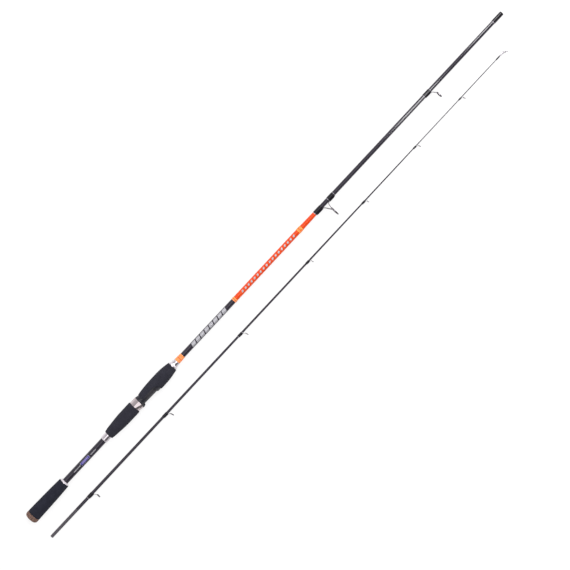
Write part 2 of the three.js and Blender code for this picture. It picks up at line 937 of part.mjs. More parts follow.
function tipBlank() {
  const outer = [[tipStart, maleRadius], [maleEnd - endGap, maleRadius], ...tipRadii];
  const hollowEnd = tipEnd - tipSolidLength;
  const bore = rod(
    [
      [tipStart - 1, maleRadius - tipWall],
      [hollowEnd, tipRadius(hollowEnd) - tipWall],
    ],
    coarse,
  );
  return cut(rod(outer, coarse), bore);
}
part(tipSection, "tip_blank", tipBlank(), carbon);

tipGuides.forEach((guide, i) => {
  const wrapped = { start: guide.station, end: guide.station + guide.wrapLength };
  addSingleFoot(tipSection, `guide_${i + 3}`, guide, wrapped, tipRadius, coarse);
});

// The tip-top: a tube over the blank's end, with the ring on two struts in front of it.
function tipTopFrame(start, end, x) {
  const inner = tipRadius(start) + fit;
  const outer = inner + tipTop.tubeWall;
  const tubePiece = turned(
    [
      [start, inner],
      [start, outer],
      [end - edge, outer],
      [end, outer - edge],
      [end, 0],
      [tipEnd + endGap, 0],
      [tipEnd + endGap, inner],
      [start, inner],
    ],
    coarse,
  );
  const struts = [-1, 1].map((side) => {
    const from = new THREE.Vector3(end - tipTop.strutRoot, -inner - tipTop.tubeWall / 2, side * tipTop.strutRadius);
    return bar(from, bandPoint(tipTop, x, side * 2), tipTop.strutRadius);
  });
  return framed(tipTop, x, coarse, tubePiece, ...struts);
}
const tipTopX = tubeEnd + tipTop.ringX;
part(tipSection, "tip_top_frame", tipTopFrame(tipWrap.end, tubeEnd, tipTopX), silver);
addBead(tipSection, "tip_top_ring", tipTop, tipTopX, coarse);
part(tipSection, "tip_top_wrap", plainWrap(tipWrap, tipRadius, threadSkin, coarse), thread);

export default rodSet;
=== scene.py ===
"""The looks of a two-piece spinning rod: a butt section with its split handle and reel seat, and the
tip section beside it. Sizes are millimetres up to the floor, lights and camera, which are in metres,
and meshes are written in metres."""

import math
from collections import namedtuple

import bmesh
import bpy
import numpy as np
from mathutils import Matrix, Vector


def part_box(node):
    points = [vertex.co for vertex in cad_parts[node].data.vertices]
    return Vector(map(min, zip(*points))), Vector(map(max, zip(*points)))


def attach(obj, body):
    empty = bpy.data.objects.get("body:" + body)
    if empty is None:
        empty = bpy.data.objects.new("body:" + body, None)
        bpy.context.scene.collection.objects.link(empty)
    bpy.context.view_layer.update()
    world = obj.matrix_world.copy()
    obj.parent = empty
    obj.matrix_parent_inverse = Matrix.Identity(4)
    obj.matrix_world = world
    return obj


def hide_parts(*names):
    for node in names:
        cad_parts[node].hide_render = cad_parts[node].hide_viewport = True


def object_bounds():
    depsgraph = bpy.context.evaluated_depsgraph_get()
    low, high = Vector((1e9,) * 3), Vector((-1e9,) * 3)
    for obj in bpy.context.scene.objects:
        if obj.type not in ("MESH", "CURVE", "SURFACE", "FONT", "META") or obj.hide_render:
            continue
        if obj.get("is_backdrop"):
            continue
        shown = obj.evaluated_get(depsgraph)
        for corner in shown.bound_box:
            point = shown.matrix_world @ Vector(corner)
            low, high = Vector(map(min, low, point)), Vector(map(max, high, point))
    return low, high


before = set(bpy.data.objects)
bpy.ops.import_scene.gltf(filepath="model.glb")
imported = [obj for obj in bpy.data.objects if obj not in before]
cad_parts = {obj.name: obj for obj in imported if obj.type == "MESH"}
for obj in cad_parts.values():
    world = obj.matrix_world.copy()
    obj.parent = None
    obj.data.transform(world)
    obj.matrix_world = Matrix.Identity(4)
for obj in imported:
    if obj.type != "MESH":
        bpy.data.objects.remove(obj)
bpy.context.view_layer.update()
scene = bpy.context.scene

MM = 0.001
TURN = 2 * math.pi
FIT = 0.1  # gap between glued pieces
BUTT, HOOD, NUT, TIP = "butt_section", "moving_hood", "lock_nut", "tip_section"


# ---------------------------------------------------------------- places from the frame


def corners(node):
    """A node's lowest and highest corner, in millimetres."""
    return [np.array(c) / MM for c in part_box(node)]


def ends(node):
    """Where a node starts and ends along X."""
    low, high = corners(node)
    return low[0], high[0]


def radius_of(node):
    """The largest radius of a node that is round about the butt section's axis."""
    return corners(node)[1][2]


def middle(node):
    """The middle of a node's box."""
    low, high = corners(node)
    return (low + high) / 2


def outline_of(node, axis=(0.0, 0.0)):
    """The places along X where a turned node has corners, with its outer radius at each."""
    found = {}
    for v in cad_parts[node].data.vertices:
        x, y, z = v.co / MM
        r = math.hypot(y - axis[0], z - axis[1])
        key = round(x, 2)
        found[key] = max(found.get(key, 0), r)
    return sorted(found.items())


BUTT_AXIS = (0.0, 0.0)
TIP_AXIS = tuple(middle("tip_blank")[1:])
butt_outline = outline_of("butt_blank") + outline_of("ferrule_socket")
tip_outline = [p for p in outline_of("tip_blank", TIP_AXIS) if p[1] > 0.6]


def butt_radius(x):
    return np.interp(x, *zip(*butt_outline))


def tip_radius(x):
    return np.interp(x, *zip(*tip_outline))


# what a wrap or a guide sits on: the blank's radius along X, its axis and its body
Blank = namedtuple("Blank", "radius axis body")
ON_BUTT = Blank(butt_radius, BUTT_AXIS, BUTT)
ON_TIP = Blank(tip_radius, TIP_AXIS, TIP)


# ---------------------------------------------------------------- mesh making


def body_from(name, points, faces, sharp=32):
    """A closed mesh object from points in millimetres, with smooth faces and crisp corners."""
    mesh = bpy.data.meshes.new(name)
    mesh.from_pydata((np.asarray(points, float) * MM).tolist(), [], faces)
    tidy = bmesh.new()
    tidy.from_mesh(mesh)
    bmesh.ops.remove_doubles(tidy, verts=tidy.verts, dist=1e-6)
    bmesh.ops.recalc_face_normals(tidy, faces=tidy.faces)
    tidy.to_mesh(mesh)
    tidy.free()
    mesh.polygons.foreach_set("use_smooth", [True] * len(mesh.polygons))
    mesh.set_sharp_from_angle(angle=math.radians(sharp))
    made = bpy.data.objects.new(name, mesh)
    scene.collection.objects.link(made)
    return made


def grid_faces(rows, columns, closed):
    """Quads over rows of points that close round in the second direction."""
    faces = []
    for i in range(rows if closed else rows - 1):
        a, b = i * columns, (i + 1) % rows * columns
        for j in range(columns):
            k = (j + 1) % columns
            faces.append((a + j, a + k, b + k, b + j))
    return faces


def bent(points, amount, steps=7):
    """A line through points, with each inner corner rounded by up to that amount."""
    p = [np.array(q, float) for q in points]
    line = [p[0]]
    for before, corner, after in zip(p, p[1:], p[2:]):
        back, on = before - corner, after - corner
        reach = min(amount, 0.45 * np.linalg.norm(back), 0.45 * np.linalg.norm(on))
        start = corner + back / np.linalg.norm(back) * reach
        end = corner + on / np.linalg.norm(on) * reach
        for k in range(steps + 1):
            t = k / steps
            line.append((1 - t) ** 2 * start + 2 * t * (1 - t) * corner + t * t * end)
    line.append(p[-1])
    return line


def held(line, gap=0.25):
    """Adds points near the ends of long straight stretches, which keep the shading flat there."""
    out = [line[0]]
    for a, b in zip(line, line[1:]):
        run = np.linalg.norm(b - a)
        if run > 4 * gap:
            out += [a + (b - a) * gap / run, b + (a - b) * gap / run]
        out.append(b)
    return out


def eased(points, amount):
    """A turned body's line of [x, radius] points, with its corners rounded and its straights held."""
    return held(bent(points, amount, steps=4))


def curved(points, count=24):
    """A smooth line through [x, radius] points, which rise in x."""
    p = np.array(points, float)
    slope = np.gradient(p[:, 1], p[:, 0])
    xs = np.linspace(p[0, 0], p[-1, 0], count)
    k = np.clip(np.searchsorted(p[:, 0], xs) - 1, 0, len(p) - 2)
    h = p[k + 1, 0] - p[k, 0]
    t = (xs - p[k, 0]) / h
    rs = (
        (2 * t**3 - 3 * t**2 + 1) * p[k, 1]
        + (t**3 - 2 * t**2 + t) * h * slope[k]
        + (3 * t**2 - 2 * t**3) * p[k + 1, 1]
        + (t**3 - t**2) * h * slope[k + 1]
    )
    return np.column_stack([xs, rs]).tolist()


def turned(name, line, sides=96, axis=BUTT_AXIS, seat=None, closed=True):
    """A body turned about X from a line of [x, radius] points: a closed loop, or pole to pole."""
    line = np.array(line, float)
    angle = np.arange(sides) / sides * TURN
    x = np.repeat(line[:, :1], sides, axis=1)
    y = axis[0] + line[:, 1:] * np.cos(angle)
    z = axis[1] + line[:, 1:] * np.sin(angle)
    points = np.stack([x, y, z], -1).reshape(-1, 3)
    if seat is not None:
        points = points @ np.array(seat.to_3x3()).T + np.array(seat.translation)
    return body_from(name, points, grid_faces(len(line), sides, closed))


def sleeve_line(outer, bore, ease=0.5):
    """The closed line of a sleeve between an outer line and a bore, with its outer corners eased."""
    (start, _), (end, _) = outer[0], outer[-1]
    inner = bore if isinstance(bore, list) else [[start, bore], [end, bore]]
    return eased([inner[0], *outer, inner[-1]], ease) + [
        np.array(p, float) for p in inner[::-1][1:-1]
    ]


def shaped(name, xs, outer, inner, sides=160, axis=BUTT_AXIS):
    """A body about X whose outer and inner radius are functions of the place and of the angle,
    which is 0 at +Y and half a turn at -Y."""
    angle = np.arange(sides) / sides * TURN
    x, a = np.meshgrid(np.array(xs, float), angle, indexing="ij")
    around = []
    for place, r in ((x, outer(x, a)), (x[::-1], inner(x, a)[::-1])):
        around.append(np.stack([place, axis[0] + r * np.cos(a), axis[1] + r * np.sin(a)], -1))
    points = np.concatenate(around).reshape(-1, 3)
    return body_from(name, points, grid_faces(2 * len(xs), sides, True), sharp=28)


def stations(start, end, step, *breaks):
    """Places along X: even steps, close pairs at the breaks and a few close ones at both ends."""
    near = np.array([0, 0.06, 0.16, 0.3, 0.5, 0.8])
    places = list(np.arange(start, end, step)) + list(start + near) + list(end - near)
    for b in breaks:
        places += [b - 0.03, b + 0.03]
    places = sorted(p for p in places if start <= p <= end)
    kept = [places[0]]
    for p in places[1:]:
        if p - kept[-1] > 0.02:
            kept.append(p)
    return kept


def round_ends(r, x, start, end, amount):
    """Takes a quarter round off a radius at both ends of a body."""
    for way in (x - start, end - x):
        short = np.clip(amount - way, 0, amount)
        r = r - (amount - np.sqrt(amount**2 - short**2))
    return r


def smooth_max(a, b, blend):
    """The larger of two radii, with a rounded inner corner where they cross."""
    k = np.clip(0.5 + 0.5 * (a - b) / blend, 0, 1)
    return b + (a - b) * k + blend * k * (1 - k)


def smooth_min(a, b, blend):
    """The smaller of two radii, with a rounded outer corner where they cross."""
    return -smooth_max(-a, -b, blend)


def swept(name, path, widths, thicknesses, corner=3.0, sides=20):
    """A bar along a path, its section a rounded rectangle with its width along Z."""
    path = np.array(path, float)
    count = len(path)
    widths = np.broadcast_to(np.array(widths, float), count)
    thicknesses = np.broadcast_to(np.array(thicknesses, float), count)
    tangent = np.gradient(path, axis=0)
    tangent /= np.linalg.norm(tangent, axis=1)[:, None]
    side = np.array([0, 0, 1]) - tangent[:, 2:] * tangent
    side /= np.linalg.norm(side, axis=1)[:, None]
    rise = np.cross(tangent, side)
    angle = np.arange(sides) / sides * TURN
    c, s = np.cos(angle), np.sin(angle)
    u = np.sign(c) * np.abs(c) ** (2 / corner)
    v = np.sign(s) * np.abs(s) ** (2 / corner)
    # each end is domed by two more rings: how far out each lies, and its share of the section
    reach = 0.4 * min(widths.min(), thicknesses.min())
    domes = {0: [(-1, 0.02), (-0.7, 0.7), (0, 1)], count - 1: [(0, 1), (0.7, 0.7), (1, 0.02)]}
    rings = []
    for k in range(count):
        for push, share in domes.get(k, [(0, 1)]):
            centre = path[k] + tangent[k] * push * reach
            rings.append(
                centre
                + np.outer(u, side[k]) * widths[k] / 2 * share
                + np.outer(v, rise[k]) * thicknesses[k] / 2 * share
            )
    points = np.concatenate(rings)
    faces = grid_faces(len(rings), sides, False)
    first, last = len(points), len(points) + 1
    points = np.vstack([points, rings[0].mean(0), rings[-1].mean(0)])
    base = (len(rings) - 1) * sides
    for j in range(sides):
        faces.append((first, (j + 1) % sides, j))
        faces.append((last, base + j, base + (j + 1) % sides))
    return body_from(name, points, faces, sharp=40)


def joined(name, *objects):
    """Several bodies as one piece."""
    points, faces = [], []
    for o in objects:
        first = len(points)
        points += [v.co / MM for v in o.data.vertices]
        faces += [[first + k for k in f.vertices] for f in o.data.polygons]
        bpy.data.objects.remove(o)
    return body_from(name, points, faces, sharp=40)


def evaluated(name, source):
    """A plain mesh object from an object with modifiers; the source is removed."""
    graph = bpy.context.evaluated_depsgraph_get()
    mesh = bpy.data.meshes.new_from_object(source.evaluated_get(graph))
    mesh.name = name
    bpy.data.objects.remove(source)
    made = bpy.data.objects.new(name, mesh)
    scene.collection.objects.link(made)
    return made


# ---------------------------------------------------------------- finishes


def linear(*rgb):
    """A colour given in 0 to 255 screen values, as the renderer's numbers."""
    parts = [c / 255 for c in rgb]
    return [c / 12.92 if c <= 0.04045 else ((c + 0.055) / 1.055) ** 2.4 for c in parts] + [1.0]


class Shading:
    """Small helpers for a shader node tree."""

    def __init__(self, tree):
        self.tree = tree

    def link(self, source, target):
        self.tree.links.new(source, target)

    def feed(self, socket, value):
        """Links a socket to another one, or gives it a number or a colour."""
        if isinstance(value, bpy.types.NodeSocket):
            self.link(value, socket)
        else:
            socket.default_value = value

    def node(self, kind, **values):
        made = self.tree.nodes.new("ShaderNode" + kind)
        for key, value in values.items():
            setattr(made, key, value)
        return made

    def math(self, operation, a, b=None, c=None):
        made = self.node("Math", operation=operation)
        for socket, value in zip(made.inputs, (a, b, c)):
            if value is not None:
                self.feed(socket, value)
        return made.outputs[0]

    def ramp(self, fac, *stops):
        """A colour ramp: stops are (position, colour)."""
        made = self.node("ValToRGB")
        made.color_ramp.elements[0].position, made.color_ramp.elements[0].color = stops[0]
        made.color_ramp.elements[1].position, made.color_ramp.elements[1].color = stops[-1]
        for position, colour in stops[1:-1]:
            made.color_ramp.elements.new(position).color = colour
        self.link(fac, made.inputs["Fac"])
        return made.outputs["Color"]

    def mix(self, fac, a, b):
        """A mix of two colours."""
        made = self.node("Mix", data_type="RGBA")
        self.link(fac, made.inputs[0])
        self.feed(made.inputs[6], a)
        self.feed(made.inputs[7], b)
        return made.outputs[2]


class Finish(Shading):
    """A procedural material: a Principled shader whose textures use Object coordinates."""

    def __init__(self, name, colour, **sockets):
        self.material = bpy.data.materials.new(name)
        self.material.use_nodes = True
        super().__init__(self.material.node_tree)
        self.shader = self.tree.nodes["Principled BSDF"]
        self.shader.inputs["Base Color"].default_value = colour
        for key, value in sockets.items():
            self.shader.inputs[key.replace("_", " ")].default_value = value
        self.place = self.tree.nodes.new("ShaderNodeTexCoord").outputs["Object"]
        self.bump = None

    def noise(self, grain, detail=3.0, rough=0.5, stretch=(1, 1, 1)):
        """Noise with grains of that size in millimetres."""
        made = self.node("TexNoise")
        made.inputs["Scale"].default_value = 1 / (grain * MM)
        made.inputs["Detail"].default_value = detail
        made.inputs["Roughness"].default_value = rough
        self.link(self.stretched(stretch), made.inputs["Vector"])
        return made.outputs["Fac"]

    def cells(self, size, feature="F1", output="Distance"):
        """Irregular cells of that size in millimetres."""
        made = self.node("TexVoronoi", feature=feature)
        made.inputs["Scale"].default_value = 1 / (size * MM)
        self.link(self.place, made.inputs["Vector"])
        return made.outputs[output]

    def stretched(self, scale):
        if tuple(scale) == (1, 1, 1):
            return self.place
        made = self.node("Mapping")
        made.inputs["Scale"].default_value = scale
        self.link(self.place, made.inputs["Vector"])
        return made.outputs["Vector"]

    def along(self):
        """The place along X, in millimetres."""
        split = self.node("SeparateXYZ")
        self.link(self.place, split.inputs[0])
        self.xyz = split.outputs
        return self.math("DIVIDE", split.outputs["X"], MM)

    def between(self, value, low, high):
        """1 where a value lies between two numbers."""
        return self.math(
            "MULTIPLY", self.math("GREATER_THAN", value, low), self.math("LESS_THAN", value, high)
        )

    def clamped(self, value):
        made = self.node("Clamp")
        self.link(value, made.inputs["Value"])
        return made.outputs[0]

    def colour(self, output):
        self.link(output, self.shader.inputs["Base Color"])

    def varied(self, socket, fac, low, high):
        """A shader value that varies between two numbers with a texture."""
        made = self.node("MapRange")
        made.inputs["To Min"].default_value = low
        made.inputs["To Max"].default_value = high
        self.link(fac, made.inputs["Value"])
        self.link(made.outputs["Result"], self.shader.inputs[socket])

    def toned(self, texture, dark, light, roughness, distance, strength):
        """One texture for the colour, the roughness and the bump."""
        self.colour(self.ramp(texture, (0.3, dark), (0.7, light)))
        self.varied("Roughness", texture, *roughness)
        self.raised(texture, distance, strength)
        return self.material

    def raised(self, height, distance, strength=1.0):
        """Adds a bump of that height in millimetres."""
        made = self.node("Bump")
        made.inputs["Distance"].default_value = distance * MM
        made.inputs["Strength"].default_value = strength
        self.link(height, made.inputs["Height"])
        if self.bump is not None:
            self.link(self.bump, made.inputs["Normal"])
        self.bump = made.outputs["Normal"]
        self.link(self.bump, self.shader.inputs["Normal"])


def dimmed(colour, share):
    """A darker shade of a colour."""
    return [c * share for c in colour[:3]] + [1.0]


# steps along X of the fine patterns that the materials draw
TURNING_STEP = 0.22
THREAD_STEP = 0.2
SCRIM_STEP = 1.6


def foam_finish(name, *shade):
    """Closed-cell grip foam about one shade, with fine cells and slow patches."""
    low, mid, high = (linear(*(c + step for c in shade)) for step in (-8, 0, 11))
    f = Finish(name, mid, Roughness=0.92, Specular_IOR_Level=0.2)
    cells = f.cells(0.55)
    patches = f.noise(9, 4)
    tone = f.math("ADD", f.math("MULTIPLY", cells, 0.35), f.math("MULTIPLY", patches, 0.65))
    f.colour(f.ramp(tone, (0.2, low), (0.5, mid), (0.85, high)))
    f.varied("Roughness", patches, 0.84, 0.98)
    f.raised(cells, 0.12, 0.6)
    f.raised(f.noise(2.2, 4), 0.1, 0.5)
    return f.material


def cork_finish():
    """Granules of cork in a dark binder."""
    grain_size = 0.9
    f = Finish("rubberised_cork", linear(118, 91, 79), Roughness=0.85, Specular_IOR_Level=0.3)
    grain = f.cells(grain_size, output="Color")
    split = f.node("SeparateColor")
    f.link(grain, split.inputs[0])
    speck = split.outputs[0]
    base = f.ramp(
        speck,
        (0.0, linear(70, 56, 55)),
        (0.3, linear(98, 75, 67)),
        (0.6, linear(122, 94, 82)),
        (0.85, linear(143, 111, 96)),
        (1.0, linear(160, 128, 111)),
    )
    fine = f.noise(0.4, 5, 0.7)
    pits = f.ramp(fine, (0.5, [0, 0, 0, 1]), (0.72, [0.55, 0.55, 0.55, 1]))
    f.colour(f.mix(pits, base, linear(60, 50, 48)))
    f.varied("Roughness", speck, 0.7, 0.95)
    f.raised(f.cells(grain_size, "DISTANCE_TO_EDGE"), 0.12, 0.6)
    f.raised(fine, 0.12, 0.6)
    return f.material


def silver_finish(name, *shade):
    """Satin anodised aluminium with fine turning rings."""
    low, high = (linear(*(c + step for c in shade)) for step in (-6, 5))
    f = Finish(name, high, Metallic=1.0, Roughness=0.2)
    rings = f.math("SINE", f.math("MULTIPLY", f.along(), TURN / TURNING_STEP))
    wear = f.noise(3, 4, stretch=(0.3, 1, 1))
    f.colour(f.ramp(wear, (0.3, low), (0.7, high)))
    f.varied("Roughness", wear, 0.15, 0.25)
    f.raised(rings, 0.006, 0.5)
    return f.material


def resin_finish(name, roughness, gloss, lit_patch=None):
    """Moulded black resin; the optional stretch along X (start, full, end) gets a painted highlight."""
    f = Finish(name, linear(32, 32, 40), Roughness=roughness, Specular_IOR_Level=gloss)
    flow = f.noise(6, 4)
    black = f.ramp(flow, (0.3, linear(28, 28, 36)), (0.7, linear(36, 36, 44)))
    if lit_patch:
        start, full, end = lit_patch
        rise = f.clamped(f.math("DIVIDE", f.math("SUBTRACT", f.along(), start), full - start))
        fall = f.clamped(f.math("DIVIDE", f.math("SUBTRACT", end, f.along()), 5.0))
        # painted highlight: a lighter grey that fades in and out along the stretch, standing in for light
        # on the saddle's lower face
        grey = f.ramp(flow, (0.3, linear(46, 45, 50)), (0.7, linear(55, 54, 59)))
        f.colour(f.mix(f.math("MULTIPLY", rise, fall), black, grey))
    else:
        f.colour(black)
    f.varied("Roughness", flow, roughness * 0.86, roughness * 1.2)
    f.raised(flow, 0.03, 0.4)
    return f.material


def steel_finish(name, colour, roughness):
    """Polished steel or metal thread, faintly brushed."""
    f = Finish(name, colour, Metallic=1.0, Roughness=roughness)
    brushed = f.noise(0.5, 3, stretch=(0.25, 1, 1))
    spread = (roughness * 0.8, roughness * 1.3)
    return f.toned(brushed, dimmed(colour, 0.82), colour, spread, 0.01, 0.4)


def ceramic_finish():
    """The polished black ring of a guide."""
    f = Finish("polished_ring_ceramic", linear(38, 38, 42), Roughness=0.08, Specular_IOR_Level=0.7)
    cloud = f.noise(1.5, 3)
    return f.toned(cloud, linear(32, 32, 36), linear(46, 46, 51), (0.05, 0.14), 0.01, 0.3)


def tape_finish():
    """Paper tape in turns, each with a darker edge."""
    tape_width = 3.0
    edge, flat, crown = linear(168, 150, 112), linear(200, 184, 147), linear(206, 191, 156)
    f = Finish("wound_paper_tape", flat, Roughness=0.9)
    turns = f.math("PINGPONG", f.along(), tape_width)
    f.colour(f.ramp(turns, (0.0, edge), (0.12, flat), (1.0, crown)))
    f.raised(f.noise(0.8, 4), 0.08, 0.5)
    return f.material


def thread_finish(name, colour, darker):
    """Wound thread under clear varnish: fine turns across the wrap, and slow ripples in the varnish."""
    roughness = 0.09
    f = Finish(name, colour, Roughness=roughness, Specular_IOR_Level=0.4)
    turns = f.math("SINE", f.math("MULTIPLY", f.along(), TURN / THREAD_STEP))
    tone = f.math("ADD", f.math("MULTIPLY", turns, 0.25), f.noise(2.5, 4))
    f.colour(f.ramp(tone, (0.2, darker), (0.75, colour)))
    f.varied("Roughness", tone, roughness * 0.8, roughness * 1.3)
    f.raised(turns, 0.005, 0.5)
    return f.material


def band_finish(name, start, stripes, between):
    """A trim band of coloured thread: stripes are (start, end, colour) along the band."""
    f = Finish(name, between, Roughness=0.25)
    x = f.math("SUBTRACT", f.along(), start)
    colour = between
    for low, high, shade in stripes:
        colour = f.mix(f.between(x, low, high), colour, shade)
    turns = f.math("SINE", f.math("MULTIPLY", x, TURN / THREAD_STEP))
    worn = f.noise(1.5, 4)
    patchy = f.math("ADD", f.math("MULTIPLY", turns, 0.03), f.math("MULTIPLY", worn, 0.14))
    shade = f.math("ADD", 0.92, patchy)
    vary = f.node("VectorMath", operation="SCALE")
    f.link(colour, vary.inputs[0])
    f.link(shade, vary.inputs["Scale"])
    f.colour(vary.outputs[0])
    f.varied("Roughness", worn, 0.2, 0.32)
    f.raised(turns, 0.02, 0.5)
    return f.material


def blank_finish(name, painted=None, bare_end=None):
    """Carbon cloth under clear varnish: a fine spiral scrim, with a painted stretch on the butt and
    a ground, unvarnished male end on the tip."""
    f = Finish(name, linear(47, 45, 53), Roughness=0.06)
    x = f.along()
    angle = f.math("ARCTAN2", f.xyz["Z"], f.xyz["Y"])
    advance = f.math("MULTIPLY", x, TURN / SCRIM_STEP)
    one_way, other_way = (f.math("SINE", f.math(sign, advance, angle)) for sign in ("ADD", "SUBTRACT"))
    weave = f.math("MULTIPLY", one_way, other_way)
    cloth = f.math("ADD", f.math("MULTIPLY", weave, 0.12), f.noise(4, 5, 0.6, stretch=(0.2, 1, 1)))
    dark, plain, pale = linear(37, 33, 43), linear(46, 42, 53), linear(57, 52, 64)
    bare = f.ramp(cloth, (0.25, dark), (0.55, plain), (0.85, pale))
    if painted:
        start, end = painted
        tone = f.noise(25, 4, 0.6)
        paint = f.ramp(tone, (0.3, linear(220, 66, 13)), (0.7, linear(228, 78, 20)))
        f.colour(f.mix(f.between(x, start, end), bare, paint))
        f.varied("Roughness", cloth, 0.045, 0.09)
    else:
        ground = f.math("LESS_THAN", x, bare_end)
        dull = f.ramp(cloth, (0.3, linear(66, 63, 69)), (0.8, linear(84, 80, 87)))
        f.colour(f.mix(ground, bare, dull))
        f.varied("Roughness", ground, 0.06, 0.5)
    f.raised(weave, 0.003, 0.4)
    f.raised(f.noise(14, 2), 0.02, 0.3)
    return f.material


def print_finish(name, colour):
    """Printed marks: metallic ink with a slight grain."""
    f = Finish(name, colour, Metallic=0.35, Roughness=0.35, Coat_Weight=1.0, Coat_Roughness=0.05)
    grain = f.noise(0.4, 3)
    return f.toned(grain, dimmed(colour, 0.8), colour, (0.3, 0.45), 0.01, 0.3)


rear_foam = foam_finish("rear_grip_foam", 34, 36, 47)
nut_foam = foam_finish("nut_sleeve_foam", 42, 42, 51)
fore_foam = foam_finish("fore_grip_foam", 43, 43, 52)
cork = cork_finish()
silver = silver_finish("satin_anodised_silver", 225, 219, 225)
hood_silver = silver_finish("satin_hood_silver", 207, 196, 198)
resin = resin_finish("seat_resin_black", 0.42, 0.42)
saddle_start, saddle_end = ends("moving_hood_liner")[1], ends("fixed_hood")[0]
# the stretch along X that gets the painted highlight on the saddle between the hoods: where it starts,
# where it is full, and where it ends
lit_patch_stretch = (saddle_start + 4, saddle_start + 16, saddle_end + 3)
glossy_resin = resin_finish("polished_seat_resin", 0.3, 0.6, lit_patch_stretch)
gunmetal = steel_finish("gunmetal_guide_steel", linear(138, 133, 139), 0.25)
bright_steel = steel_finish("bright_guide_steel", linear(176, 171, 178), 0.2)
ceramic = ceramic_finish()
tape = tape_finish()
black_thread = thread_finish("varnished_black_thread", linear(29, 26, 35), linear(16, 14, 21))
silver_thread = steel_finish("silver_trim_thread", linear(176, 172, 180), 0.3)
silver_ink = print_finish("silver_ink", linear(188, 188, 194))
violet_ink = print_finish("violet_ink", linear(66, 56, 160))
lilac_ink = print_finish("lilac_ink", linear(160, 148, 206))

paint_start, paint_end = ends("lower_band")[1], ends("stripper_rear_wrap")[0]
butt_varnish = blank_finish("varnished_carbon_and_paint", (paint_start, paint_end))
male_end = next(x for x, r in tip_outline if r > tip_outline[0][1])
tip_varnish = blank_finish("varnished_carbon", bare_end=male_end)


# ---------------------------------------------------------------- placing


def dress(piece, material, body, slot, *nodes):
    """Gives a piece its material and its body, and hides the nodes that it stands for. slot is not used."""
    piece.data.materials.clear()
    piece.data.materials.append(material)
    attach(piece, body)
    if nodes:
        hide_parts(*nodes)
    return piece


# ---------------------------------------------------------------- wound turns and mark rows


def geometry_tree(name, inputs):
    """An empty Geometry Nodes tree with a geometry input, named inputs and a geometry output."""
    tree = bpy.data.node_groups.new(name, "GeometryNodeTree")
    tree.interface.new_socket(name="Geometry", in_out="INPUT", socket_type="NodeSocketGeometry")
    for key, kind in inputs:
        tree.interface.new_socket(name=key, in_out="INPUT", socket_type="NodeSocket" + kind)
    tree.interface.new_socket(name="Geometry", in_out="OUTPUT", socket_type="NodeSocketGeometry")
    return tree, tree.nodes.new("NodeGroupInput").outputs, tree.nodes.new("NodeGroupOutput").inputs


def add_node(tree, kind, values=(), **links):
    """A Geometry Nodes node, with its inputs linked or set by name."""
    made = tree.nodes.new("GeometryNode" + kind)
    for key, value in values:
        setattr(made, key, value)
    for key, source in links.items():
        socket = made.inputs[key.replace("_", " ")]
        if isinstance(source, bpy.types.NodeSocket):
            tree.links.new(source, socket)
        else:
            socket.default_value = source
    return made


def end_tree(tree, geometry, given, result):
    """Ends a tree with plain geometry in the given material."""
    real = add_node(tree, "RealizeInstances", Geometry=geometry)
    done = add_node(tree, "SetMaterial", Geometry=real.outputs[0], Material=given["Material"])
    tree.links.new(done.outputs[0], result[0])
    return tree


def run_tree(name, source, tree, **values):
    """Runs a tree on an object and returns the result as a plain mesh object."""
    modifier = source.modifiers.new("turns", "NODES")
    modifier.node_group = tree
    for item in tree.interface.items_tree:
        if item.in_out == "INPUT" and item.name.replace(" ", "_") in values:
            modifier[item.identifier] = values[item.name.replace(" ", "_")]
    return evaluated(name, source)


def wound_thread_tree():
    """Turns of thread, laid as one spiral on to the surface of a wrap's body."""
    tree, given, result = geometry_tree(
        "wound_thread",
        [
            ("Start", "Vector"),
            ("Length", "Float"),
            ("Radius", "Float"),
            ("Turns", "Float"),
            ("Sides", "Int"),
            ("Thread Radius", "Float"),
            ("Material", "Material"),
        ],
    )
    spiral = add_node(
        tree,
        "CurveSpiral",
        Resolution=given["Sides"],
        Rotations=given["Turns"],
        Height=given["Length"],
        Start_Radius=given["Radius"],
        End_Radius=given["Radius"],
    )
    to_x = (0, math.pi / 2, 0)
    laid = add_node(
        tree, "Transform", Geometry=spiral.outputs[0], Translation=given["Start"], Rotation=to_x
    )
    near = add_node(tree, "Proximity", [("target_element", "FACES")])
    tree.links.new(given["Geometry"], near.inputs[0])
    settled = add_node(tree, "SetPosition", Geometry=laid.outputs[0], Position=near.outputs["Position"])
    section = add_node(tree, "CurvePrimitiveCircle", Resolution=6, Radius=given["Thread Radius"])
    wound = add_node(
        tree, "CurveToMesh", Curve=settled.outputs[0], Profile_Curve=section.outputs[0], Fill_Caps=True
    )
    both = add_node(tree, "JoinGeometry")
    tree.links.new(given["Geometry"], both.inputs[0])
    tree.links.new(wound.outputs[0], both.inputs[0])
    return end_tree(tree, both.outputs[0], given, result)


def mark_row_tree():
    """A row of printed bars: one small bar, set out in even steps."""
    tree, given, result = geometry_tree(
        "mark_row",
        [("Start", "Vector"), ("Step", "Vector"), ("Count", "Int"), ("Material", "Material")],
    )
    line = add_node(tree, "MeshLine", [("mode", "OFFSET")], Count=given["Count"], Offset=given["Step"])
    tree.links.new(given["Start"], line.inputs["Start Location"])
    set_out = add_node(tree, "InstanceOnPoints", Points=line.outputs[0], Instance=given["Geometry"])
    return end_tree(tree, set_out.outputs[0], given, result)


wound_thread = wound_thread_tree()
mark_row = mark_row_tree()
PITCH, TRIM_PITCH = 0.36, 0.24  # between turns of thread, in a wrap and in its silver trim
THREAD = 0.07  # a turn's radius
SUNK_THREAD = 0.035  # how far turns stand out of thick varnish
COVER = 0.4  # thread and varnish over a guide's foot
FOOT_GAP = 0.05  # varnish under a guide's foot


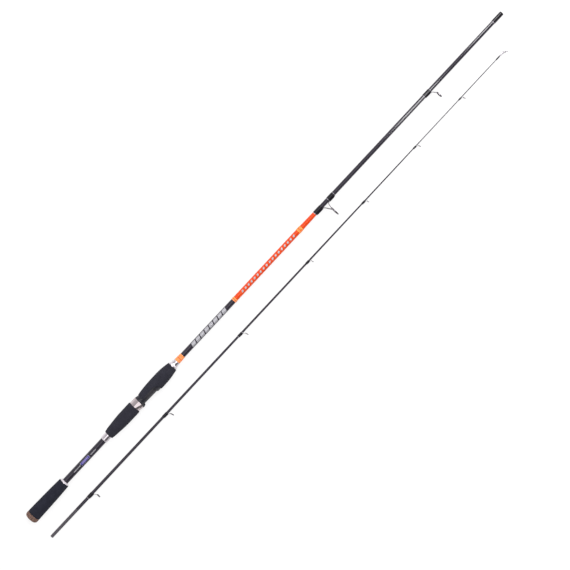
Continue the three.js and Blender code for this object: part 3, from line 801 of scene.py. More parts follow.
def wind(name, bed, start, end, radius, axis, material, pitch=PITCH, thread=THREAD, sides=28):
    """Winds thread round a bed between two places."""
    return run_tree(
        name,
        bed,
        wound_thread,
        Start=(start * MM, axis[0] * MM, axis[1] * MM),
        Length=(end - start) * MM,
        Radius=radius * MM,
        Turns=max(1.0, (end - start) / pitch),
        Sides=sides,
        Thread_Radius=thread * MM,
        Material=material,
    )


# ---------------------------------------------------------------- blank


def butt_blank():
    """The butt section's tube, one wall thick, with the wider bore of its ferrule socket."""
    end = butt_outline[-1][0]
    bore_start = ends("ferrule_socket")[0]
    socket = radius_of("ferrule_socket")
    wall, socket_wall = 1.0, 0.65
    bore = butt_radius(end) - socket_wall
    outer = [[x, r] for x, r in butt_outline if abs(x - bore_start) > 1]
    inner = [[x, r - wall] for x, r in outer if x < bore_start] + [[bore_start, socket - wall]]
    inner += [[bore_start + 0.3, bore], [end, bore]]
    line = eased([inner[0], *outer, inner[-1]], 0.3) + [np.array(p, float) for p in inner[::-1][1:-1]]
    blank = turned("varnished_butt_blank", line, 72)
    dress(blank, butt_varnish, BUTT, "carbon_blank", "butt_blank", "ferrule_socket")


butt_blank()


# ---------------------------------------------------------------- handle


def cork_cap():
    start, end = ends("butt_cap")
    r, bore, floor, rounding = radius_of("butt_cap"), butt_radius(start) + FIT, 4.0, 5.0
    arc = [
        [start + rounding * (1 - math.cos(t)), r - rounding * (1 - math.sin(t))]
        for t in np.linspace(0, math.pi / 2, 14)
    ]
    face = [[start, 0], [start, r - rounding - 0.6]]
    line = [*face, *arc, [end - 0.4, r], [end, r - 0.4], [end, bore], [floor, bore], [floor, 0]]
    piece = turned("cork_butt_cap", line, 128, closed=False)
    dress(piece, cork, BUTT, "rubberised_cork", "butt_cap")


def rear_foam_grip():
    outline = outline_of("rear_grip")
    line = sleeve_line(curved(outline, 30), butt_radius(outline[0][0]) + FIT, 0.7)
    dress(turned("rear_foam_grip", line, 128), rear_foam, BUTT, "eva_foam", "rear_grip")


def ringed(name, node, outer):
    """A turned silver ring from its outer line, with the bore on the blank."""
    start, end = ends(node)
    outer = [[start, outer[0][1]], *outer[1:-1], [end, outer[-1][1]]]
    line = sleeve_line(outer, butt_radius(start) + FIT, 0.35)
    dress(turned(name, line, 128), silver, BUTT, "silver_anodised", node)


def grooved(x, r, width=0.45, depth=0.22):
    """Points of a shallow turned groove."""
    return [[x, r], [x + 0.25 * width, r - depth], [x + 0.75 * width, r - depth], [x + width, r]]


cork_cap()
rear_foam_grip()

rear_start, rear_end = ends("rear_winding_check")
rear_r = radius_of("rear_winding_check")
ringed(
    "rear_check_ring",
    "rear_winding_check",
    [
        [rear_start, rear_r - 0.35],
        [rear_start + 0.35, rear_r],
        [rear_start + 1.1, rear_r - 0.15],
        [rear_end - 0.5, rear_r - 2.3],
        [rear_end, rear_r - 2.8],
    ],
)

collar_start, collar_end = ends("seat_tail_collar")
collar_r = radius_of("seat_tail_collar")
ringed(
    "seat_tail_collar_ring",
    "seat_tail_collar",
    [
        [collar_start, collar_r - 0.4],
        [collar_start + 0.6, collar_r],
        *grooved(collar_start + 1.8, collar_r),
        *grooved(collar_start + 11, collar_r),
        [collar_end, collar_r],
    ],
)

fore_start, fore_end = ends("fore_winding_check")
fore_r = radius_of("fore_winding_check")
fore_front = outline_of("fore_winding_check")[-2][1]
fore_waist = curved(
    [
        [fore_start + 2.6, fore_r - 0.3],
        [fore_start + 4.4, fore_front + 0.75],
        [fore_end - 3.4, fore_front + 0.2],
        [fore_end - 0.8, fore_front],
    ],
    14,
)
ringed(
    "fore_check_cone",
    "fore_winding_check",
    [
        [fore_start, fore_r],
        *grooved(fore_start + 1.3, fore_r),
        *fore_waist,
        [fore_end, fore_front - 0.4],
    ],
)


# ---------------------------------------------------------------- reel seat

SEAT_BORE = 6.75
NECK = 7.65  # radius of the barrel behind its thread
barrel_r = radius_of("seat_barrel")
seat_start, seat_end = ends("seat_barrel")
rim_end = ends("moving_hood_liner")[1]
hood_start, hood_shell_end = ends("moving_hood_shell")
mouth, fixed_hood_end = ends("fixed_hood")
ceiling = radius_of("fixed_hood") - 0.75
# the pad between the hoods: from the axis to its face at its rear and front, and how far its round
# sides move out at the front
PAD_REAR, PAD_FRONT, PAD_RISE = 9.0, 9.9, 0.7
FLAT = 8.8  # from the axis to the barrel's flat, which keys the moving hood
FLAT_END = fixed_hood_end - 0.75
POCKET_HALF = 7.5  # half of a pocket's width
POCKET_DEPTH = 14.5
LEVEL_ROOF, ROOF_DROP = 5.8, 1.3  # a pocket's roof runs level this far in, then drops this much
thread_start, thread_end = ends("lock_nut_core")[1] - 38, rim_end - 1.5


def toward_foot(a):
    """Cosine of the angle from the -Y side, at least a little above nothing."""
    return np.maximum(-np.cos(a), 1e-6)


def within(a, half):
    """The radius at which a ray at that angle meets the planes z = half and z = -half."""
    return half / np.maximum(np.abs(np.sin(a)), 1e-6)


def seat_barrel():
    """The moulded barrel: its thread, the flat under the hoods and the pad between them."""
    pad_start, pad_end = rim_end + 0.6, mouth - 0.6
    flat_start = hood_start - 20.3

    def outer(x, a):
        ridge = np.clip(0.5 + 0.9 * np.sin((x / 2.5 + a / TURN) * TURN), 0, 1)
        threaded = (x > thread_start) & (x < thread_end)
        r = np.where(threaded, barrel_r - 0.5 + 0.5 * ridge, barrel_r)
        r = np.where(x < thread_start - 2, NECK, r)
        on_pad = (x > pad_start) & (x < pad_end)
        pad = np.interp(x, [pad_start, pad_end], [PAD_REAR, PAD_FRONT])
        rise = np.interp(x, [pad_start, pad_end], [0, PAD_RISE])
        lowered = -rise * np.cos(a) + np.sqrt(barrel_r**2 - (rise * np.sin(a)) ** 2)
        r = np.where(on_pad, np.maximum(r, lowered), r)
        depth = np.where(on_pad, pad, FLAT)
        flat = depth / toward_foot(a)
        on_flat = (x > flat_start) & (x < FLAT_END)
        return np.where(on_flat, np.minimum(r, flat), r)

    xs = stations(seat_start, seat_end, 0.3, thread_start - 2, flat_start, pad_start, pad_end, FLAT_END)
    # every ring on the thread, fewer elsewhere
    limits = (xs[0], xs[-1])
    xs = [x for x in xs if thread_start - 4 < x < thread_end + 3 or abs(x % 1.5) < 0.3 or x in limits]
    piece = shaped("threaded_seat_barrel", xs, outer, lambda x, a: 0 * x + SEAT_BORE, 144)
    dress(piece, glossy_resin, BUTT, "seat_resin", "seat_barrel")


def pocket_radius(x, a, front, way):
    """The inside of a hood's pocket, from its mouth at front; way is 1 where it deepens along +X."""
    depth = (x - front) * way
    top = np.interp(depth, [0, LEVEL_ROOF, POCKET_DEPTH], [ceiling, ceiling, ceiling - ROOF_DROP])
    top = top + 0.2 * np.clip(0.9 - depth, 0, 0.9)
    r = np.minimum(top, within(a, POCKET_HALF))
    return np.where((depth < POCKET_DEPTH) & (-np.cos(a) > 0.3), r, 0)


def fixed_hood():
    """The hood under the fore grip, with the front pocket for a reel's foot."""
    r = radius_of("fixed_hood")

    def outer(x, a):
        raked = np.interp(x, [mouth, mouth + 1.2, mouth + 3.5], [ceiling + 0.32, ceiling + 0.42, r])
        return round_ends(raked, x, mouth - 1, fixed_hood_end, 0.4)

    def inner(x, a):
        return np.maximum(barrel_r + FIT, pocket_radius(x, a, mouth, 1))

    xs = stations(mouth, fixed_hood_end, 1.0, mouth + POCKET_DEPTH)
    dress(shaped("fixed_hood_pocket", xs, outer, inner), glossy_resin, BUTT, "seat_resin", "fixed_hood")


def on_foot_side(a, r, half):
    """A radius towards -Y alone, between the planes z = half and z = -half."""
    return np.where(-np.cos(a) > 0, np.minimum(r, within(a, half)), 0)


def wedge(x, a, round_r, rear, front, half):
    """The moving hood's form: a round body and, towards -Y, a wedge that widens up to its mouth."""
    wide = np.interp(x, [hood_start, hood_shell_end - 2, hood_shell_end], [rear, front, front])
    return smooth_max(0 * x + round_r, on_foot_side(a, wide, half), 0.5)


HOOD_RING = barrel_r + 1.05  # radius of the moving hood's liner where it is round
WEDGE_HALF = 8.25  # half of its wedge's width
liner_top = ceiling + 0.375


def hood_section(x):
    """The hood's outside at a place along it, as y and z all round. Each side has a level facet, then
    a narrower one that faces the foot side; both run out forwards, and a full curve follows them."""
    run = (x - hood_start) / (hood_shell_end - hood_start)
    r = HOOD_RING + 0.8
    # corners, each as (y, z): the ridge, the level facet's edge and the next facet's edge
    level_tilt, facet_tilt = math.tan(math.radians(1.5)), math.tan(math.radians(26 + run))
    ridge = np.array([0.9, r - 0.1])
    level = np.array([-2.3 - 4.1 * run, 0])
    level[1] = ridge[1] - (ridge[0] - level[0]) * level_tilt
    width = 3.9 + 0.4 * run
    slope = level + np.array([-width, -width * facet_tilt])
    bottom = HOOD_RING + 0.5 + (liner_top + 0.3 - HOOD_RING) * min(1, run * 1.15)
    lean = math.radians(17)
    # a Bezier curve from +Y round to the ridge
    pulls = [[r, 0], [r, 0.56 * r], ridge + 0.5 * r * np.array([math.cos(lean), -math.sin(lean)]), ridge]
    line = []
    for t in np.linspace(0, 1, 26)[:-1]:
        shares = [(1 - t) ** 3, 3 * t * (1 - t) ** 2, 3 * t * t * (1 - t), t**3]
        line.append(np.dot(shares, np.array(pulls)).tolist())
    for p, q, count in ((ridge, level, 10), (level, slope, 6)):
        length = np.linalg.norm(q - p)
        near = 0.14 / length  # close points beside the corners, which keep the facets flat
        shares = [0, near, *np.linspace(near, 1 - near, count)[1:-1], 1 - near]
        line += [(p + (q - p) * k).tolist() for k in shares]
    far, turn = np.linalg.norm(slope), math.atan2(-slope[0], slope[1])
    for u in [0, 0.012, *np.linspace(0.03, 1, 24)]:
        t = turn + (math.pi / 2 - turn) * u
        radius = bottom + (far - bottom) * (1 - u) ** 1.6
        line.append([-radius * math.sin(t), radius * math.cos(t)])
    half = np.array(line)
    other = half[1:-1][::-1] * [1, -1]
    return np.vstack([half, other]).T


def slanted(rows, back):
    """Moves points back along X on the foot side, by up to that much at its lowest line."""
    y, z = rows[..., 1], rows[..., 2]
    low = np.clip((-y / np.hypot(y, z) - 0.55) / 0.45, 0, 1)
    rows[..., 0] -= low * back
    return rows


def moving_hood():
    """The silver cover with its facets, and the resin liner in it, whose rim stands out in front."""
    rim_start = hood_shell_end + FIT
    slant = 3.0  # how far the cover's front edge runs back on the foot side

    def under(x, a):
        return wedge(x, a, HOOD_RING + FIT, HOOD_RING - 0.4, liner_top + FIT, WEDGE_HALF + FIT)

    xs = np.array(stations(hood_start, hood_shell_end, 0.6))
    outside, inside = [], []
    for x in xs:
        y, z = hood_section(x)
        a = np.arctan2(z, y)
        for rows, r in (
            (outside, round_ends(np.hypot(y, z), x, hood_start, hood_shell_end, 0.45)),
            (inside, under(x, a)),
        ):
            share = (x - hood_start) / (hood_shell_end - hood_start)
            rows.append(slanted(np.stack([x + 0 * a, r * np.cos(a), r * np.sin(a)], -1), slant * share**3))
    points = np.concatenate(outside + inside[::-1])
    shell = body_from("moving_hood_cover", points, grid_faces(2 * len(xs), len(outside[0]), True), sharp=40)
    dress(shell, hood_silver, HOOD, "silver_anodised", "moving_hood_shell")

    def liner(x, a):
        low = wedge(x, a, HOOD_RING, HOOD_RING - 0.5, liner_top, WEDGE_HALF)
        places = [rim_start, rim_start + 1.4, rim_start + 2.4, rim_end]
        crown = np.interp(x, places, [HOOD_RING, HOOD_RING - 0.05, HOOD_RING - 0.45, HOOD_RING - 0.55])
        foot = np.interp(x, places, [liner_top + 0.75, liner_top + 1.2, liner_top + 0.85, ceiling + 0.5])
        lip = smooth_max(crown, on_foot_side(a, foot, WEDGE_HALF + 0.9), 0.5)
        lip = round_ends(lip, x, rim_start - 1, rim_end, 0.25)
        return np.where(x < rim_start, low, lip)

    def bore(x, a):
        keyed = np.minimum(barrel_r + 0.3, (FLAT + 0.3) / toward_foot(a))
        return np.maximum(keyed, pocket_radius(x, a, rim_end, -1))

    xs = stations(hood_start, rim_end, 0.6, rim_start, rim_end - POCKET_DEPTH)
    xs = sorted(xs + [rim_start + s for s in (0.1, 0.25, 0.45, 0.7)])
    rim = shaped("moving_hood_rim", xs, liner, bore, 192)
    rows = np.array([v.co / MM for v in rim.data.vertices])
    share = np.interp(rows[:, 0], [hood_start, rim_start], [0, 1])
    lean_back = slant * share**3 - np.interp(rows[:, 0], [rim_start, rim_end], [0, 1.1])
    rim.data.vertices.foreach_set("co", (slanted(rows, lean_back) * MM).ravel())
    dress(rim, resin, HOOD, "seat_resin", "moving_hood_liner")


def lock_nut():
    """The nut on the seat's thread, and the foam sleeve round it."""
    start, end = ends("lock_nut_core")
    r, bore = radius_of("lock_nut_core"), barrel_r + 0.3
    flare = start + 14
    tail = NECK + 0.3
    outer = [[start, tail + 0.8], [flare, r], [end, r]]
    inner = [[start, tail], [flare - 0.3, tail], [flare, bore], [end, bore]]
    core = turned("lock_nut_core_ring", sleeve_line(outer, inner, 0.3), 96)
    dress(core, resin, NUT, "seat_resin", "lock_nut_core")

    outline = outline_of("lock_nut_sleeve")
    s0, s1 = outline[0][0], outline[-1][0]
    top = radius_of("lock_nut_sleeve")
    rear = [[s0, tail + 0.9], [s0 + 7, tail + 2.1], [start + 3, top - 1.8]]
    front = [[flare + 4, top - 0.5], [s1 - 12, top], [s1 - 1.4, top]]
    outer = [*curved(rear + front, 40), [s1, top - 1.2]]
    inner = [[s0, tail], [start - FIT, tail], [start - FIT, tail + 0.9], [flare, r + FIT], [s1, r + FIT]]
    sleeve = turned("foam_nut_sleeve", sleeve_line(outer, inner, 0.9), 128)
    dress(sleeve, nut_foam, NUT, "eva_foam", "lock_nut_sleeve")


seat_barrel()
fixed_hood()
moving_hood()
lock_nut()


# ---------------------------------------------------------------- fore grip


def fore_foam_grip():
    """The fore grip: foam round the barrel and over the fixed hood, scooped away on the reel's side.
    Each station is half a section, from +Y round to where the foam ends or to -Y, and its mirror."""
    start, end = ends("fore_grip")
    start -= 1.0
    crest = radius_of("fore_grip")
    crest_x = (mouth + fixed_hood_end) / 2
    on_barrel, on_hood, on_blank = barrel_r + FIT, radius_of("fixed_hood") + FIT, butt_radius(end) + FIT
    bore_steps = [mouth - 0.3, fixed_hood_end + 0.3, seat_end + 0.3]
    bores = [on_barrel, on_hood, on_barrel, on_blank]
    rear = [[start, 10.5], [start + 6, 11.4], [start + 16, 12.3]]
    front = [[crest_x, crest], [crest_x + 22, 12.5], [end, 9.8]]
    outline = curved(rear + front, 60)
    # the scoop's edge, as a depth towards -Y: it starts beside the mouth and bends round to the crest
    edge, pull, run_out = 1.2, 7.5, 8.3
    t = np.linspace(0, 1, 60)
    bend_x = mouth + pull * 2 * t * (1 - t) + run_out * t * t
    bend = edge * (1 - t) ** 2 + (edge + 0.5) * 2 * t * (1 - t) + crest * t * t
    columns, dense = 44, 400  # points kept on each line of a half section, and tried on its outer one

    def half_section(x, bore):
        r = round_ends(np.interp(x, *zip(*outline)), x, start, end, 0.5)
        depth = np.interp(x, bend_x, bend) if x < bend_x[-1] else 2 * crest
        a = np.linspace(0, math.pi, dense)
        out = smooth_min(0 * a + r, depth / toward_foot(a), 0.9)
        gone = np.nonzero(out < bore)[0]
        last = gone[0] if len(gone) else dense
        if last < dense:
            share = (out[last - 1] - bore) / (out[last - 1] - out[last])
            stop = a[last - 1] + share * (a[1] - a[0])
            a, out = np.append(a[:last], stop), np.append(out[:last], bore)
        y, z = out * np.cos(a), out * np.sin(a)
        step = np.hypot(np.diff(y), np.diff(z))
        turn = np.abs(np.diff(np.unwrap(np.arctan2(np.diff(z), np.diff(y)))))
        weight = np.append(0, np.cumsum(step + 3 * np.append(0, turn)))
        outer = [np.interp(np.linspace(0, weight[-1], columns), weight, v) for v in (y, z)]
        within_bore = np.linspace(a[-1], 0, columns)
        inner = [bore * np.cos(within_bore), bore * np.sin(within_bore)]
        half = np.column_stack([np.full(2 * columns, x), *(np.append(o, i) for o, i in zip(outer, inner))])
        return half, last == dense

    meets = np.interp([on_barrel, on_hood], bend, bend_x)
    in_bend = [*np.arange(mouth, mouth + run_out, 0.25), mouth + run_out, *(m for m in meets if m > mouth)]
    xs = sorted(stations(start, end, 0.8, *bore_steps) + in_bend)
    halves = [half_section(x, bores[int(np.searchsorted(bore_steps, x))]) for x in xs]
    points, faces = [], []
    ring = 2 * columns
    for k, (half, shut) in enumerate(halves):
        points += [half, half * [1, 1, -1]]
        if k == 0:
            continue
        for side in (0, ring):
            before, here = (k - 1) * 2 * ring + side, k * 2 * ring + side
            for j in range(ring - 1):
                if j == columns - 1 and shut and halves[k - 1][1]:
                    continue
                faces.append((before + j, before + j + 1, here + j + 1, here + j))
    for k in (0, len(halves) - 1):
        for side in (0, ring):
            first = k * 2 * ring + side
            last = first + ring - 1
            faces += [(first + j, first + j + 1, last - 1 - j, last - j) for j in range(columns - 1)]
    grip = body_from("fore_foam_grip", np.concatenate(points), faces, sharp=40)
    dress(grip, fore_foam, BUTT, "eva_foam", "fore_grip")


fore_foam_grip()


# ---------------------------------------------------------------- thread work


def bed_line(start, end, radius, skin):
    """The closed line of a plain wrap's body."""
    outer = [[start, radius(start) + FIT + 0.5 * skin]]
    outer += [[x, radius(x) + FIT + skin] for x in np.linspace(start + 0.7, end - 0.7, 5)]
    outer += [[end, radius(end) + FIT + 0.5 * skin]]
    return sleeve_line(outer, [[start, radius(start) + FIT], [end, radius(end) + FIT]], 0.3)


def plain_wrap(node, on, material, slot, skin, thread=THREAD):
    """A wrap of thread round a blank: a bed of that thickness, with the turns wound on to it."""
    start, end = ends(node)
    bed = turned(node + "_turns_bed", bed_line(start, end, on.radius, skin), 64, on.axis)
    r = on.radius((start + end) / 2) + skin + FIT
    piece = wind(node + "_turns", bed, start + 0.6, end - 0.6, r, on.axis, material, thread=thread)
    dress(piece, material, on.body, slot, node)


# each band: its slot, its ground colour, and its stripes as (start, end, colour) along it
BANDS = (
    ("handle_band", "orange_thread", linear(251, 153, 84), [(6.1, 7.4, linear(240, 99, 50))]),
    (
        "lower_band",
        "orange_thread",
        linear(254, 154, 94),
        [(2.6, 3.4, linear(150, 64, 44)), (3.4, 5.7, linear(252, 160, 80))],
    ),
    ("upper_band", "yellow_thread", linear(253, 158, 68), [(3.4, 6.3, linear(246, 116, 53))]),
)
for node, slot, ground, stripes in BANDS:
    trim = band_finish(node + "_thread", ends(node)[0], stripes, ground)
    plain_wrap(node, ON_BUTT, trim, slot, 0.3)
for node, on, skin in (("ferrule_wrap", ON_BUTT, 0.45), ("tip_top_wrap", ON_TIP, 0.4)):
    plain_wrap(node, on, black_thread, "varnished_thread", skin, SUNK_THREAD)


def foot_wrap(node, on, foot, way, sides):
    """A wrap over a guide's foot, drawn tight: its section is the hull of the blank and of the foot,
    given as width and thickness. way is 1 where the foot thickens along +X."""
    start, end = ends(node)
    radius = on.radius
    width, thick = foot

    def outer(x, a):
        base = radius(x) + FIT + COVER
        deep = x - start if way > 0 else end - x
        plate = radius(x) + FIT + FOOT_GAP + thick * np.interp(deep, [0.4, 1.2, 5], [0, 0.5, 1]) + COVER
        half = width / 2 * np.interp(deep, [0.4, 1.2, 5], [0.2, 0.6, 1]) + 0.15
        corner = np.arctan2(half, plate)
        leaves = corner + np.arccos(np.clip(base / np.hypot(half, plate), -1, 1))
        off = np.abs(a - math.pi)
        slope = base / np.cos(np.clip(leaves - off, -1.5, 1.5))
        flanks = np.where(off < leaves, slope, base)
        r = np.where(off < corner, plate / np.cos(np.minimum(off, 1.2)), flanks)
        return round_ends(np.maximum(r, base), x, start, end, 0.4)

    def inner(x, a):
        return radius(x) + FIT + 0 * a

    name = node + "_turns"
    bed = shaped(name + "_bed", stations(start, end, 0.8), outer, inner, sides, on.axis)
    reach = radius((start + end) / 2) + 0.5
    turns = (start + 0.5, end - 0.5, reach, on.axis)
    piece = wind(name, bed, *turns, black_thread, thread=SUNK_THREAD, sides=24)
    dress(piece, black_thread, on.body, "varnished_thread", node)


# ---------------------------------------------------------------- guides


def guide_of(name, lean=0.0):
    """A guide's ring: its middle and its outer radius, from the ring's node, and its lean in degrees."""
    low, high = corners(name + "_ring")
    outer = (high[2] - low[2]) / 2
    return {"name": name, "centre": (low + high) / 2, "outer": outer, "lean": math.radians(lean)}


def ring_seat(guide):
    """Takes a ring about the origin to its place and lean."""
    return Matrix.Translation(Vector(guide["centre"])) @ Matrix.Rotation(guide["lean"], 4, "Z")


def band_and_bead(guide, wall, band_width, ring_wall, body, sides):
    """The ring's band of sheet steel, which is returned, and the ceramic ring in it."""
    inner = guide["outer"] + FIT
    half = band_width / 2
    loop = [[-half, inner], [-half, inner + wall], [half, inner + wall], [half, inner], [-half, inner]]
    line = eased(loop, 0.35 * wall)[:-1]
    band = turned(guide["name"] + "_band", line, sides, seat=ring_seat(guide))
    hole = guide["outer"] - ring_wall
    mid = (guide["outer"] + hole) / 2
    bead = []
    for t in np.linspace(0, TURN, 28, endpoint=False):
        c, s = math.cos(t), math.sin(t)
        u = math.copysign(abs(c) ** 0.8, c)
        v = math.copysign(abs(s) ** 0.8, s)
        bead.append([(half + 0.12) * u, mid + ring_wall / 2 * v])
    ring = turned(guide["name"] + "_ceramic", bead, sides, seat=ring_seat(guide))
    dress(ring, ceramic, body, "ring_ceramic", guide["name"] + "_ring")
    return band


def band_point(guide, r, angle):
    """A point on the band at an angle from its nearest point to the rod."""
    y = r * math.cos(angle)
    lean = guide["lean"]
    return guide["centre"] + np.array([-y * math.sin(lean), y * math.cos(lean), r * math.sin(angle)])


def single_foot_guide(name, on, sides, lean, wall, width, ring_wall, foot_width, thick):
    """A guide on one foot: a strap from the foot up to the ring's band, with an arm on each side."""
    guide = guide_of(name, lean)
    start, end = ends(name + "_wrap")
    band = band_and_bead(guide, wall, width, ring_wall, on.body, sides)
    r = guide["outer"] + FIT + wall / 2
    low = on.axis[0] - max(on.radius(start), on.radius(end)) - FIT - FOOT_GAP - thick / 2
    top = band_point(guide, r, 0)
    level = on.axis[1]
    foot_start = [start + 1, low + 0.3 * thick, level]
    path = bent([foot_start, [start + 4, low, level], [end + 0.5, low, level], top], 2.2)
    run = np.linspace(0, 1, len(path))
    widths = foot_width * np.interp(run, [0, 0.25, 0.7, 1], [0.55, 1, 0.95, 1.15])
    thicks = thick * np.interp(run, [0, 0.3, 1], [0.45, 1, 1])
    parts = [band, swept(name + "_strap", path, widths, thicks)]
    for side in (-1, 1):
        foot = np.array([end + 0.6, low, level + side * foot_width * 0.3])
        tip = band_point(guide, r, side * 0.62)
        knee = (foot * 0.45 + tip * 0.55) + np.array([0.1, 0, side * foot_width * 0.1])
        arm = bent([foot, knee, tip], 2)
        parts.append(swept(name + f"_arm_{side + 1}", arm, 0.9 * thick * 1.3, 0.9 * thick, 2.4, 14))
    piece = joined(name + "_steel_frame", *parts)
    dress(piece, gunmetal, on.body, "guide_steel", name + "_frame")
    foot_wrap(name + "_wrap", on, (foot_width, thick), 1, 72 if sides > 60 else 48)


def stripper_guide():
    """The largest guide: a foot before and behind, two legs from one and a brace from the other."""
    name = "stripper_guide"
    guide = guide_of(name)
    wall, thick, foot_width, leg = 0.75, 1.0, 4.0, 0.9
    parts = [band_and_bead(guide, wall, 2.2, 1.5, BUTT, 96)]
    r = guide["outer"] + FIT + wall / 2
    rear, front = ends("stripper_rear_wrap"), ends("stripper_front_wrap")
    rear_low, front_low = (-(butt_radius(x) + FIT + FOOT_GAP + thick / 2) for x in (rear[0], front[0]))
    for label, low, wrap, way, past in (
        ("rear", rear_low, rear, 1, 2.4),
        ("front", front_low, front[::-1], -1, 4.6),
    ):
        tail = [[wrap[0] + way, low + 0.25, 0], [wrap[0] + 5 * way, low, 0]]
        path = [*tail, [wrap[1] + past * way, low, 0]]
        widths = [foot_width * 0.5, foot_width, foot_width]
        parts.append(swept(name + "_" + label, path, widths, [0.4, thick, thick]))
    for side in (-1, 1):
        foot = np.array([rear[1] + 1.6, rear_low, side * foot_width * 0.27])
        tip = band_point(guide, r, side * math.pi / 3)
        knee = foot + np.array([1.6, -1.2, side * 0.6])
        strut = bent([foot, knee, tip], 2.5)
        parts.append(swept(name + f"_leg_{side + 1}", strut, 2 * leg, 1.7 * leg, 2.3, 18))
    foot = np.array([front[0] - 3.6, front_low, 0])
    brace = bent([foot, foot + np.array([-1.6, -1.4, 0]), band_point(guide, r, 0)], 2)
    widths = [2.6 * leg] * (len(brace) - 1) + [3.2 * leg]
    parts.append(swept(name + "_brace", brace, widths, 1.5 * leg, 2.6, 18))
    piece = joined(name + "_steel_frame", *parts)
    dress(piece, gunmetal, BUTT, "guide_steel", name + "_frame")
    for node, way in (("stripper_rear_wrap", 1), ("stripper_front_wrap", -1)):
        foot_wrap(node, ON_BUTT, (foot_width, thick), way, 80)


def tip_top():
    """The tip-top: a tube over the blank's end, and a small ring on two struts."""
    name = "tip_top"
    guide = guide_of(name, 45)
    low, high = corners("tip_top_frame")
    start = ends("tip_top_wrap")[1] + 0.2
    end = start + 11.3
    inner = tip_radius(start) + FIT
    outer = inner + 0.45
    stop = end - 1.4
    line = [
        *eased([[start, inner], [start, outer], [end - 1.1, outer], [end, outer - 0.7]], 0.25),
        [end, 0],
        [stop, 0],
        [stop, inner],
        [start + 0.3, inner],
    ]
    # the tube closes on the axis in front, so it is turned from pole to pole
    shell = [line[-4], *line[:-4][::-1], line[-1], line[-2], line[-3]]
    tube = turned(name + "_tube", shell, 48, TIP_AXIS, closed=False)
    guide["outer"] = (high[2] - low[2]) / 2 - 0.45 - FIT
    band = band_and_bead(guide, 0.45, 1.0, 0.65, TIP, 56)
    parts = [tube, band]
    r = guide["outer"] + FIT + 0.2
    for side in (-1, 1):
        foot = np.array([end - 4, TIP_AXIS[0] - inner - 0.1, TIP_AXIS[1] + side * 0.5])
        tip = band_point(guide, r, side * 2)
        knee = foot * 0.4 + tip * 0.6 + np.array([0, 0, side * 0.5])
        parts.append(swept(name + f"_strut_{side + 1}", bent([foot, knee, tip], 2), 0.95, 0.8, 2.3, 14))
    piece = joined(name + "_steel_frame", *parts)
    dress(piece, bright_steel, TIP, "bright_steel", name + "_frame")


# lean in degrees, the band's wall and width, the ring's wall, and the foot's width and thickness
GUIDE_2 = (0, 0.6, 1.7, 1.1, 3.2, 0.8)
TIP_GUIDES = (
    (0, 0.45, 1.2, 0.8, 2.0, 0.5),
    (15, 0.45, 1.2, 0.8, 2.0, 0.5),
    (15, 0.45, 1.1, 0.75, 1.8, 0.5),
    *[(15, 0.4, 0.9, 0.6, 1.3, 0.4)] * 4,
)
stripper_guide()
single_foot_guide("guide_2", ON_BUTT, 88, *GUIDE_2)
for number, sizes in enumerate(TIP_GUIDES, 3):
    single_foot_guide(f"guide_{number}", ON_TIP, 56, *sizes)


# ---------------------------------------------------------------- tip section


def tip_blank():
    """The tip section's blank: a tube at its thick end, and solid further on."""
    outer = [[x, r] for x, r in tip_outline]
    start, end = outer[0][0], outer[-1][0]
    wall, solid_length = 0.75, 345
    deep = end - solid_length
    line = eased([[start, outer[0][1] - wall], *outer, [end, 0]], 0.25)
    line += [np.array([deep, 0.0]), np.array([deep, tip_radius(deep) - wall])]
    shell = [line[-2], line[-1], *line[:-2]]
    piece = turned("varnished_tip_blank", shell, 56, TIP_AXIS, closed=False)
    dress(piece, tip_varnish, TIP, "carbon_blank", "tip_blank")


tip_blank()
tip_top()


# ---------------------------------------------------------------- printed marks and trim turns


def mark(width, length, radius, slant=0.0, aside=0.0, thick=0.05, steps=12):
    """One printed bar: a thin patch that lies round the blank about the origin, on its top side, or
    that far aside of it towards -Y. A slanted bar leans forwards towards +Y."""
    points, faces = [], []
    half = width / 2 / radius
    for x in (-length / 2, length / 2):
        for lift in (0.0, thick):
            for t in np.linspace(-half, half, steps + 1):
                r, turn = radius + lift, t + aside / radius
                points.append([x - t * radius * slant, -r * math.sin(turn), r * math.cos(turn)])
    n = steps + 1
    for k in range(steps):
        faces += [
            (n + k, n + k + 1, 3 * n + k + 1, 3 * n + k),
            (k, 2 * n + k, 2 * n + k + 1, k + 1),
            (k, k + 1, n + k + 1, n + k),
            (2 * n + k, 3 * n + k, 3 * n + k + 1, 2 * n + k + 1),
        ]
    faces += [(0, n, 3 * n, 2 * n), (steps, 2 * n + steps, 3 * n + steps, n + steps)]
    return body_from("mark", points, faces)


def marks(name, start, end, step, bar, material, lift=0.01):
    """A row of plain bars along the butt blank's top side. bar is one bar's width, length and slant,
    and how far aside of the top it lies."""
    radius = max(butt_radius(start), butt_radius(end)) + lift
    piece = run_tree(
        name,
        mark(*bar[:2], radius, *bar[2:]),
        mark_row,
        Start=(start * MM, 0.0, 0.0),
        Step=(step * MM, 0.0, 0.0),
        Count=1 + int((end - start) / step),
        Material=material,
    )
    dress(piece, material, BUTT, "carbon_blank")


# each row's start, end and step along the blank, and its bar
SILVER_ROWS = {
    "silver_bars_on_carbon": (436, 520, 11.5, (8.2, 9.2, 0.35)),
    "silver_bars_on_paint": (566, 702, 8.0, (4.1, 3.4, 0.35)),
    "split_bars_rear": (118, 134, 1.7, (1.8, 1.15, 0.0, 0.8)),
    "split_bars_front": (162, 175, 1.7, (1.8, 1.15, 0.0, 0.8)),
}
for name, row in SILVER_ROWS.items():
    marks(name, *row, silver_ink)


